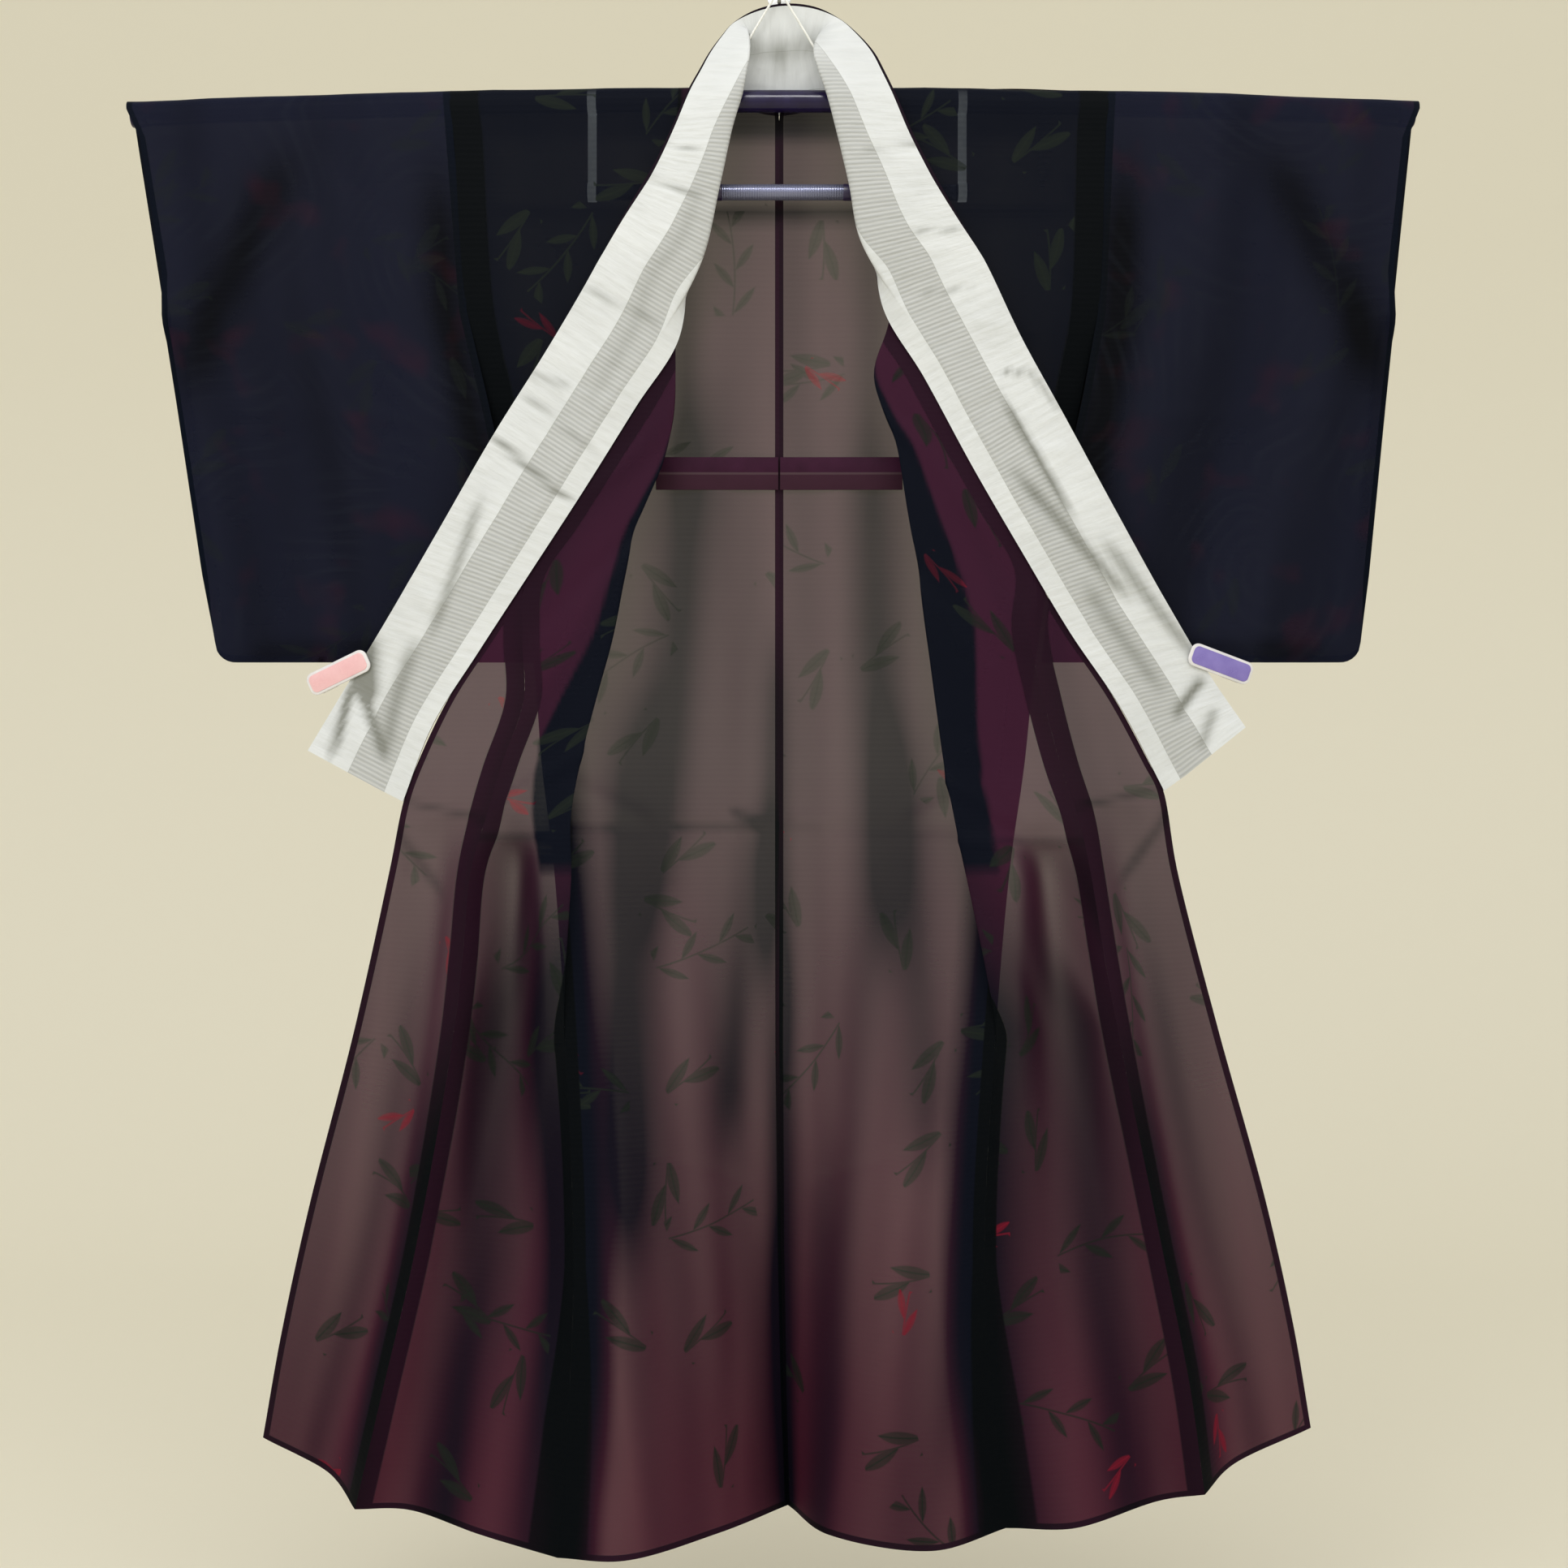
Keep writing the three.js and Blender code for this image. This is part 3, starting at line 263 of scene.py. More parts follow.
# A sleeve's front and back y at height z, and its inner and outer edges as (z, x).
SLEEVE_PROFILE = table(
    PROFILE_COLUMNS,
    (-150, -37, -9.6),
    (-210, -35, -8.8),
    (-270, -32.6, -8.2),
    (-350, -29.6, -8),
    (-460, -25, -8.6),
    (-560, -21.5, -9.6),
    (-640, -19, -10.6),
    (-680, -17, -11.6),
    (-692, -14.3, -14.3),
)
SLEEVE_LEFT = {
    "inner": [(-99, -338), (-128, -336), (-330, -321.6), (-420, -301), (-480, -288), (-560, -273.5),
              (-692, -255.5)],
    "outer": [(-99, -672), (-670, -588), (-692, -585)],
}
SLEEVE_RIGHT = {
    "inner": [(-99, 338), (-128, 336.4), (-330, 328.6), (-420, 313), (-480, 300), (-560, 288),
              (-692, 272)],
    "outer": [(-99, 659), (-670, 605), (-692, 603)],
}

# Soft folds pressed into each piece, in millimetres of its own cloth: across is measured from the first
# edge, along from the top. Positive depth stands out on the outer side.
BACK_FOLDS = table(
    STROKE,
    ((0, 255), (806, 800), 5, 2.4),
    ((4, 60), (790, 806), 9, -3.0),
    ((66, 60), (190, 780), 16, -3.0),
    ((112, 96), (240, 700), 13, 2.6),
    ((150, 140), (330, 790), 18, -2.2),
    ((30, 38), (520, 1180), 14, 2.0),
    ((96, 88), (860, 1420), 20, -3.4),
    ((170, 150), (900, 1440), 22, 3.0),
    ((250, 120), (742, 806), 10, -2.0),
    ((20, 200), (1180, 1120), 7, 0.9),
    ((14, 240), (418, 402), 6, 0.8),
)
FRONT_FOLDS = table(
    STROKE,
    ((20, 300), (806, 800), 5, 2.2),
    ((60, 90), (840, 1420), 18, -3.0),
    ((130, 150), (860, 1430), 16, 2.6),
    ((200, 214), (560, 1100), 15, -2.2),
    ((40, 150), (700, 800), 9, 2.0),
    ((70, 190), (330, 620), 12, -1.8),
    ((150, 240), (200, 500), 14, 1.6),
)
OKUMI_FOLDS = table(
    STROKE,
    ((0, 130), (250, 262), 5, 1.8),
    ((40, 52), (270, 900), 14, -2.6),
    ((95, 110), (330, 860), 13, 2.2),
    ((124, 60), (236, 330), 8, -2.0),
)
SLEEVE_FOLDS = table(
    STROKE,
    ((0, 330), (250, 268), 5, 1.2),
    ((110, 120), (60, 520), 16, 1.8),
    ((215, 230), (40, 560), 20, -1.8),
    ((290, 240), (30, 330), 11, 1.4),
    ((40, 160), (420, 560), 12, -1.4),
    ((260, 180), (360, 545), 14, 1.5),
)
# Painted shade in the creases and folds of the collar's lining, as soft strokes measured as in its folds
# below; depth 1 is the darkest.
COLLAR_SHADES = table(
    STROKE,
    ((0, 130), (3, 3), 2.5, -0.6),
    ((108, 26), (104, 22), 6, 0.9),
    ((104, 84), (92, 8), 4, 0.5),
    ((108, 40), (1776, 1822), 6, 0.85),
    ((96, 52), (1822, 1866), 7, 0.5),
    ((70, 120), (70, 150), 11, 0.95),
    ((30, 70), (20, 170), 9, 0.6),
    ((88, 104), (-20, 120), 6, 0.5),
    ((50, 90), (150, 330), 6, 0.6),
    ((-10, 130), (352, 372), 3.5, 0.75),
    ((-10, 130), (408, 426), 2.5, 0.4),
    ((60, 130), (455, 440), 5, 0.35),
    ((10, 130), (560, 546), 2.5, 0.4),
    ((40, 130), (690, 700), 2.5, 0.5),
    ((54, 130), (738, 752), 2, 0.45),
    ((40, 60), (420, 740), 8, 0.22),
    ((30, 40), (800, 900), 13, 0.5),
    ((60, 70), (860, 1040), 14, 0.4),
    ((56, 58), (930, 950), 30, 0.2),
    ((50, 130), (1148, 1140), 2, 0.5),
    ((66, 130), (1240, 1256), 3, 0.4),
    ((36, 100), (1310, 1326), 2.5, 0.35),
    ((70, 96), (1418, 1432), 3, 0.55),
    ((60, 66), (1430, 1600), 4.5, 0.85),
    ((96, 110), (1420, 1500), 4, 0.4),
    ((30, 80), (1500, 1700), 7, 0.75),
    ((80, 110), (1600, 1780), 8, 0.6),
    ((40, 50), (1640, 1800), 9, 0.5),
)
# How wide the cloth lies in three layers beside the fold of each front, as (z, millimetres).
TURNED_WIDTH = {
    "left": [(-440, 0), (-662, 23), (-778, 50), (-855, 42), (-910, 36)],
    "right": [(-377, 0), (-510, 27), (-595, 44), (-656, 54), (-760, 42), (-910, 38)],
}
# How much of a side seam's allowance lies flat enough to show, as (z, share).
SIDE_ALLOWANCE = [(-90, 1), (-850, 0.9), (-950, 0.4), (-1300, 0.45), (-1450, 0.9), (-1600, 1.15)]
# How far the bars' painted shadow darkens the back just below them, as (z, share).
BAR_SHADOW = [(-100, 0), (-124, 0.9), (-140, 0.9), (-158, 0), (-211, 0), (-220, 0.9), (-228, 0.7), (-240, 0)]
# Where a panel lies in deeper shade, as soft strokes; depth 1 is the darkest.
BACK_SHADES = {
    "left": table(STROKE,
        ((96, 100), (20, 520), 17, 0.5),
        ((70, 150), (280, 960), 34, 0.9),
        ((140, 190), (600, 1300), 36, 0.9),
        ((234, 240), (700, 1500), 26, 1.0),
        ((240, 300), (1000, 1800), 26, 0.9),
        ((0, 14), (560, 1010), 13, 0.7),
        ((6, 70), (740, 1180), 24, 0.65),
        ((2, 2), (860, 1900), 14, 0.8),
        ((0, 60), (1180, 1720), 26, 0.35),
        ((-60, 340), (806, 800), 2.5, 0.35),
        ((10, 56), (802, 786), 6, 0.6)),
    "right": table(STROKE,
        ((92, 96), (20, 520), 16, 0.4),
        ((90, 122), (330, 1000), 28, 0.8),
        ((120, 176), (640, 1200), 30, 0.6),
        ((236, 240), (660, 1500), 34, 1.0),
        ((236, 290), (1000, 1800), 32, 0.95),
        ((0, 4), (560, 1100), 12, 0.6),
        ((4, 12), (800, 1800), 17, 0.85),
        ((50, 96), (1080, 1700), 32, 0.35),
        ((-60, 340), (806, 812), 2.5, 0.3)),
}
FRONT_SHADES = table(
    STROKE,
    ((2, 2), (700, 1900), 50, 1.0),
    ((190, 275), (700, 1800), 24, 0.7),
    ((-60, 320), (806, 800), 3, 0.35),
    ((100, 150), (800, 1700), 36, 0.8),
)
OKUMI_SHADES = table(
    STROKE,
    ((0, 0), (420, 1200), 40, 0.8),
    ((-20, 110), (262, 236), 3.5, 0.5),
    ((30, 124), (350, 232), 6, 0.5),
    ((60, 100), (300, 1100), 18, 0.4),
)
SLEEVE_SHADES = table(
    STROKE,
    ((330, 150), (250, 560), 26, 0.8),
    ((24, 20), (30, 560), 22, 1.0),
    ((20, 320), (20, 10), 12, 0.5),
)
# Across is measured from the seam edge here, along from the left end over the neck to the right end.
COLLAR_FOLDS = table(
    STROKE,
    ((104, 30), (100, 26), 6, -2.4),
    ((104, 44), (1778, 1820), 6, -2.4),
    ((60, 116), (196, 214), 4.5, 1.6),
    ((0, 116), (262, 282), 4, -1.1),
    ((34, 110), (150, 330), 8, -1.4),
    ((20, 116), (470, 456), 4, -1.0),
    ((66, 116), (566, 588), 3.5, 1.2),
    ((50, 116), (700, 688), 3.5, -1.2),
    ((50, 116), (1142, 1150), 3.5, -1.2),
    ((60, 116), (1262, 1278), 4, 1.2),
    ((64, 116), (1350, 1374), 5, 1.6),
    ((0, 60), (1452, 1440), 4, -1.0),
    ((52, 116), (1502, 1530), 6, 2.0),
    ((30, 70), (1500, 1720), 7, -1.6),
    ((84, 108), (1600, 1750), 6, 1.4),
    ((0, 116), (1668, 1684), 4, -1.2),
)


# ---- sheets of cloth ----------------------------------------------------------------------------


def at(x, y, z):
    """A point in metres from its millimetres."""
    return Vector((x, y, z)) * MM


def clamp(value):
    return min(max(value, 0), 1)


def line_point(points, share):
    """The point at a share of a soft line through the points, where each span has the same share."""
    place = share * (len(points) - 1)
    i = min(int(place), len(points) - 2)
    w = place - i
    b, c = points[i], points[i + 1]
    a = points[i - 1] if i else 2 * b - c
    d = points[i + 2] if i + 2 < len(points) else 2 * c - b
    before, here, after = (max((q - p).length, 1e-7) ** 0.5 for p, q in ((a, b), (b, c), (c, d)))
    leave = ((b - a) / before - (c - a) / (before + here) + (c - b) / here) * here
    reach = ((c - b) / here - (d - b) / (here + after) + (d - c) / after) * here
    return b + leave * w + (3 * (c - b) - 2 * leave - reach) * w * w + (2 * (b - c) + leave + reach) * w**3


def span_points(points, counts):
    """Points on the soft line, so many in each span, so that a column of cloth follows each table line."""
    found = [points[0]]
    for i, count in enumerate(counts):
        found += [line_point(points, (i + k / count) / len(counts)) for k in range(1, count + 1)]
    return found


def drape(sections, counts, pitch=0.009):
    """A grid of points over soft sections that follow each other, a row about every pitch."""
    lines = [span_points(section, counts) for section in sections]
    columns = len(lines[0])
    shares = []
    for i, (above, below) in enumerate(zip(lines, lines[1:])):
        run = max((below[c] - above[c]).length for c in (0, columns // 2, columns - 1))
        steps = max(3, math.ceil(run / pitch))
        shares += [(i + k / steps) / (len(lines) - 1) for k in range(steps)]
    shares.append(1.0)
    stacks = [[line[c] for line in lines] for c in range(columns)]
    return [[line_point(stack, share) for stack in stacks] for share in shares]


def level_point(points, z):
    """The point at height z on a soft line that falls steadily."""
    high, low = 0.0, 1.0
    for _ in range(40):
        middle = (high + low) / 2
        if line_point(points, middle).z > z:
            high = middle
        else:
            low = middle
    return line_point(points, (high + low) / 2)


def grid_normal(grid, r, c):
    """The cloth's normal at a point of its grid."""
    rows, columns = len(grid), len(grid[0])
    across = grid[r][min(c + 1, columns - 1)] - grid[r][max(c - 1, 0)]
    down = grid[min(r + 1, rows - 1)][c] - grid[max(r - 1, 0)][c]
    return across.cross(down).normalized()


def measure(grid):
    """For each point its distance from the first edge, from the last edge, and from the top row."""
    middle = len(grid[0]) // 2
    down = 0.0
    found = []
    for r, row in enumerate(grid):
        if r:
            down += (row[middle] - grid[r - 1][middle]).length
        across = [0.0]
        for a, b in zip(row, row[1:]):
            across.append(across[-1] + (b - a).length)
        found.append([(gone, across[-1] - gone, down) for gone in across])
    return found


def fold_height(folds, across, along):
    """How far the folds lift the cloth at a place, in metres."""
    total = 0.0
    for fold in folds:
        a = Vector((fold["across"][0], fold["along"][0])) * MM
        run = Vector((fold["across"][1], fold["along"][1])) * MM - a
        here = Vector((across, along)) - a
        share = clamp(here.dot(run) / run.length_squared)
        gap = (here - run * share).length / (fold["width"] * MM)
        if gap < 3:
            ends = min(1.0, 4 * share, 4 * (1 - share)) if 0 < share < 1 else 0.0
            total += fold["depth"] * MM * math.exp(-gap * gap) * ends * ends * (3 - 2 * ends)
    return total


def press(grid, folds, ripple, seed, outward):
    """The grid with its folds and a slight unevenness, both fading out at the seams."""
    sizes = measure(grid)
    made = []
    for r, row in enumerate(grid):
        line = []
        for c, p in enumerate(row):
            first, last, down = sizes[r][c]
            hold = min(1.0, first / SEAM_HOLD, last / SEAM_HOLD)
            # waves about 11 cm wide and 38 cm long, and finer ones over them
            uneven = noise.noise(Vector((first * 9, down * 2.6, seed)))
            fine = noise.noise(Vector((first * 34, down * 15, seed + 5)))
            lift = fold_height(folds, first, down) + ripple * MM * (uneven + 0.25 * fine)
            line.append(p + grid_normal(grid, r, c) * (outward * hold * lift))
        made.append(line)
    return made


def sew(grid, column, line, below=10.0, reach=6):
    """Moves one edge of a sheet onto a seam line, point by point at the same height, below a height."""
    for row in grid:
        if row[column].z >= below or not line[-1].z <= row[column].z <= line[0].z:
            continue
        z = row[column].z
        upper = next(i for i in range(len(line) - 1) if line[i + 1].z <= z)
        a, b = line[upper], line[upper + 1]
        step = a.lerp(b, (a.z - z) / max(a.z - b.z, 1e-9)) - row[column]
        for c in range(len(row)):
            share = max(0, 1 - abs(c - column % len(row)) / reach)
            row[c] = row[c] + step * share


def sheet_mesh(name, grid, allowances, outward, merge=False, spare=None, shades=(), shift=0, outer=None,
               weight=1.0, narrow=None):
    """A sheet on a grid of points. Its UV map holds the cloth's own metres. The attribute seams holds the
    distance from the first edge, from the last edge and from the hem, each as a share of the allowance
    that is folded back there; spare gives other values for it, and narrow names the edge where the
    allowance changes with height. The attribute veil holds how much cloth the light goes through, more
    where it stands steeply to the wall and, by weight, below the crease, how deep it lies in painted shade,
    and what outer gives: whether its outer face shows, or on a back panel the dark of its double hems and
    the painted shadow of the bars."""
    rows, columns = len(grid), len(grid[0])
    sizes = measure(grid)
    whole = sizes[-1][0][2]
    bm = bmesh.new()
    bmesh.ops.create_grid(bm, x_segments=columns - 1, y_segments=rows - 1, size=0.5)
    uv = bm.loops.layers.uv.new("cloth")
    seams = bm.verts.layers.float_vector.new("seams")
    veil = bm.verts.layers.float_vector.new("veil")
    place = {vert: (round((0.5 - vert.co.y) * (rows - 1)), round((vert.co.x + 0.5) * (columns - 1)))
             for vert in bm.verts}
    for face in bm.faces:
        for loop in face.loops:
            r, c = place[loop.vert]
            loop[uv].uv = (sizes[r][c][0] + PATTERN_STEP[0] * shift, sizes[r][c][2] + PATTERN_STEP[1] * shift)
    for vert, (r, c) in place.items():
        first, last, down = sizes[r][c]
        vert.co = grid[r][c]
        shares = [first / allowances[0], last / allowances[1], (whole - down) / allowances[2]]
        if narrow is not None:
            shares[narrow] /= between(SIDE_ALLOWANCE, grid[r][c].z / MM)
        vert[seams] = Vector(spare(r, c) if spare else shares)
        slant = 1 / max(abs(grid_normal(grid, r, c).y), STEEPEST)
        below = clamp((CREASE_Z * MM - grid[r][c].z) / LOW_FADE)
        dim = min(fold_height(shades, first, down) / MM, 1.0)
        vert[veil] = Vector((slant * (1 + (weight - 1) * below), dim, outer(r, c) if outer else 0.0))
    bm.faces.ensure_lookup_table()
    bm.normal_update()
    corner = bm.faces[0]
    if corner.normal.dot(grid_normal(grid, *place[corner.verts[0]])) * outward < 0:
        bmesh.ops.reverse_faces(bm, faces=bm.faces[:])
    if merge:
        bmesh.ops.remove_doubles(bm, verts=bm.verts[:], dist=WELD)
    return finish_mesh(name, bm)


def finish_mesh(name, bm):
    """A smooth object of a bmesh, in the scene."""
    mesh = bpy.data.meshes.new(name)
    bm.to_mesh(mesh)
    bm.free()
    for face in mesh.polygons:
        face.use_smooth = True
    piece = bpy.data.objects.new(name, mesh)
    bpy.context.scene.collection.objects.link(piece)
    return piece


def place_on(row, column, lift):
    """A table's point with its hem's rise, or none where the table leaves it out."""
    if column not in row:
        return None
    x, y = row[column]
    return at(x, y, row["z"] + lift[column] * clamp((CREASE_Z - row["z"]) / (CREASE_Z - HEM_Z)))


def droop(x):
    """How far the bar hangs down at x under the garment's weight."""
    return BAR_DROOP * (x / BAR_RIGHT) ** 2


def over_bar(side, behind, shares):
    """A body panel's rows over the bar, from its top down to the back (1) or to the front (-1) of it."""
    rows = []
    for angle in (0, 18, 38, 60, 90):
        turned = math.radians(angle)
        y = BAR_Y + behind * CLOTH_RADIUS * math.sin(turned)
        rise = CLOTH_RADIUS * math.cos(turned)
        across = [NECK_X + (SHOULDER_X - NECK_X) * share for share in shares]
        rows.append([at(side * x, y, BAR_Z + rise - droop(x)) for x in across])
    return rows


def side_point(row, lift, back, front):
    """The side seam at a row: one line for both panels where they are sewn, else the panel's own."""
    own = place_on(row, "side", lift)
    if row["z"] > OPEN_SIDE_Z:
        return own
    lines = [[place_on(other, "side", lift) for other in rows] for rows in (back, front)]
    ends = [level_point(line, own.z) for line in lines]
    return (ends[0] + ends[1]) / 2


def under_collar(line, z):
    """Where a panel's edge lies hidden under the collar's seam line."""
    return level_point(line, z * MM) + at(0, UNDER_DOUBLED if z > FOLD_Z else UNDER_SINGLE, 0)


def seam_line(half):
    """The collar's seam on one front, from the top down."""
    return [at(*row["seam"]) for row in reversed(half[:COLLAR_FRONT_ROWS])]


def back_sections(side, back, front, lift):
    """A back panel's sections, from the bar's top down to the hem, each from the centre to the side seam."""
    rows = over_bar(side, 1, (0, 0.3, 0.65, 1))
    first = [place_on(back[0], column, lift) for column in ("centre", "slope", "swell", "side")]
    neckline = [a.lerp(b, 0.5) for a, b in zip(rows[-1], first)]
    neckline[0] = at(side * NECK_BACK[0], *NECK_BACK[1:])
    rows.append(neckline)
    for row in back:
        points = [place_on(row, column, lift) for column in ("centre", "slope", "swell")]
        rows.append([*points, side_point(row, lift, back, front)])
    return rows


def front_sections(side, back, front, lift, line):
    """A front panel's sections: side seam, fold, near and far side of its hollow, and overlap seam."""
    rows = over_bar(side, -1, (1, 0.045, 0.03, 0.015, 0))
    for row in front:
        edge = side_point(row, lift, back, front)
        seam = place_on(row, "seam", lift) or under_collar(line, row["z"])
        near = place_on(row, "near", lift)
        turn = place_on(row, "turn", lift) or (edge.lerp(near, 0.15) if near else edge.lerp(seam, 0.96))
        near = near or turn.lerp(seam, 1 / 3)
        rows.append([edge, turn, near, place_on(row, "far", lift) or turn.lerp(seam, 2 / 3), seam])
    return rows


def okumi_sections(okumi, lift, line):
    """An overlap panel's sections, from its seam to its free edge."""
    rows = []
    for row in okumi:
        edge = place_on(row, "edge", lift) or under_collar(line, row["z"])
        seam = place_on(row, "seam", lift) or edge - at(math.copysign(2, edge.x), 0, 0)
        rows.append([seam, place_on(row, "fall", lift) or (seam + edge) / 2, edge])
    return rows


def between(rows, z):
    """The value at height z in rows of (z, value), on a straight line between two of them."""
    for (z0, x0), (z1, x1) in zip(rows, rows[1:]):
        if z >= z1 or (z1, x1) == rows[-1]:
            return x0 + (x1 - x0) * (z - z0) / (z1 - z0)


def sleeve_grid(edges, side, columns=44, step=9):
    """Rows run from the front's lower edge up over the bar and down the back to the same lower edge."""
    drop = SLEEVE_TOP_Z - SLEEVE_BOTTOM_Z
    count = round(drop / step)
    heights = [SLEEVE_BOTTOM_Z + drop * i / count for i in range(count + 1)]
    front = [Vector((row["front"], row["z"])) for row in SLEEVE_PROFILE]
    back = [Vector((row["back"], row["z"])) for row in SLEEVE_PROFILE]
    profile = [(depth_at(front, z), z, "front") for z in heights]
    for angle in range(168, 0, -12):
        turned = math.radians(angle)
        y = BAR_Y + CLOTH_RADIUS * math.cos(turned)
        profile.append((y, BAR_Z + CLOTH_RADIUS * math.sin(turned), "bar"))
    profile += [(depth_at(back, z), z, "back") for z in reversed(heights)]
    grid = []
    for y, z, part in profile:
        inner, outer = between(edges["inner"], z), between(edges["outer"], z)
        if part == "front":
            outer -= side * CUFF_STEP * clamp((z - CUFF_END_Z) / CUFF_EASE)
        middle = y if part == "bar" else (depth_at(front, z) + depth_at(back, z)) / 2
        low = max((CORNER_TOP_Z - z) / (CORNER_TOP_Z - SLEEVE_BOTTOM_Z), 0)
        line = []
        for c in range(columns):
            share = 1 - (1 - c / (columns - 1)) ** 1.35  # columns lie closer together near the cuff
            x = inner + share * (outer - inner)
            inside = max(SLEEVE_CORNER - abs(outer - x), 0)
            rise = SLEEVE_CORNER - math.sqrt(SLEEVE_CORNER**2 - inside**2)
            sewn = clamp((CUFF_END_Z + 12 - z) / 24) * max(0, 1 - abs(outer - x) / SEWN_WIDTH) ** 0.5
            bow = droop(x) * clamp((z - BOW_END_Z) / (BOW_TOP_Z - BOW_END_Z))
            line.append(at(x, y + (middle - y) * sewn, z + rise * low - bow))
        grid.append(line)
    return grid


def depth_at(line, z):
    """A sleeve's y at height z, read off its profile and drawn towards the bar above it."""
    top = line[0]
    if z > top.y:
        bar = BAR_Y + (CLOTH_RADIUS if top.x > BAR_Y else -CLOTH_RADIUS)
        share = min((z - top.y) / BAR_DRAW, 1)
        return top.x + (bar - top.x) * share
    for a, b in zip(line, line[1:]):
        if z >= b.y:
            return b.x + (a.x - b.x) * (z - b.y) / (a.y - b.y)
    return line[-1].x


def collar_sections():
    """The collar's sections, from its left end over the neck to its right end."""
    rows = []
    for row in [*COLLAR_LEFT, COLLAR_BACK, *reversed(COLLAR_RIGHT)]:
        seam, roll, free = (at(*row[column]) for column in ("seam", "roll", "free"))
        doubled = (seam - roll).normalized().dot((free - roll).normalized())
        bend = ROLL_BEND * max(doubled, 0) if row["roll"][2] < FLAT_ROLL_Z else FLAT_BEND
        behind = roll.lerp(seam, ROLL_SHARE) + at(0, bend, 0)
        before = roll.lerp(free, ROLL_SHARE) + at(0, -bend, 0)
        rows.append([seam, behind, roll, before, free])
    return rows


# ---- materials ----------------------------------------------------------------------------------

WAVE = 0.314  # a wave texture of this scale has one band in a metre


def tone(code):
    """A linear colour from its sRGB hex value."""
    parts = [int(code[i : i + 2], 16) / 255 for i in (1, 3, 5)]
    return (*[p / 12.92 if p <= 0.04045 else ((p + 0.055) / 1.055) ** 2.4 for p in parts], 1.0)


def add(tree, kind, inputs=(), output=0, **settings):
    """Adds a shader node with its settings, its values and its links, and gives one of its outputs."""
    made = tree.nodes.new("ShaderNode" + kind)
    for name, value in settings.items():
        setattr(made, name, value)
    for key, value in inputs.items() if isinstance(inputs, dict) else enumerate(inputs):
        if isinstance(value, bpy.types.NodeSocket):
            tree.links.new(value, made.inputs[key])
        else:
            made.inputs[key].default_value = value
    return made.outputs[output]


def blank(name):
    """A new material with an empty node tree, and that tree."""
    material = bpy.data.materials.new(name)
    material.use_nodes = True
    material.node_tree.nodes.clear()
    return material, material.node_tree


def close_material(material, sockets):
    """Gives a material its surface, from the shader's sockets by name."""
    tree = material.node_tree
    out = tree.nodes.new("ShaderNodeOutputMaterial")
    tree.links.new(add(tree, "BsdfPrincipled", sockets), out.inputs["Surface"])
    return material


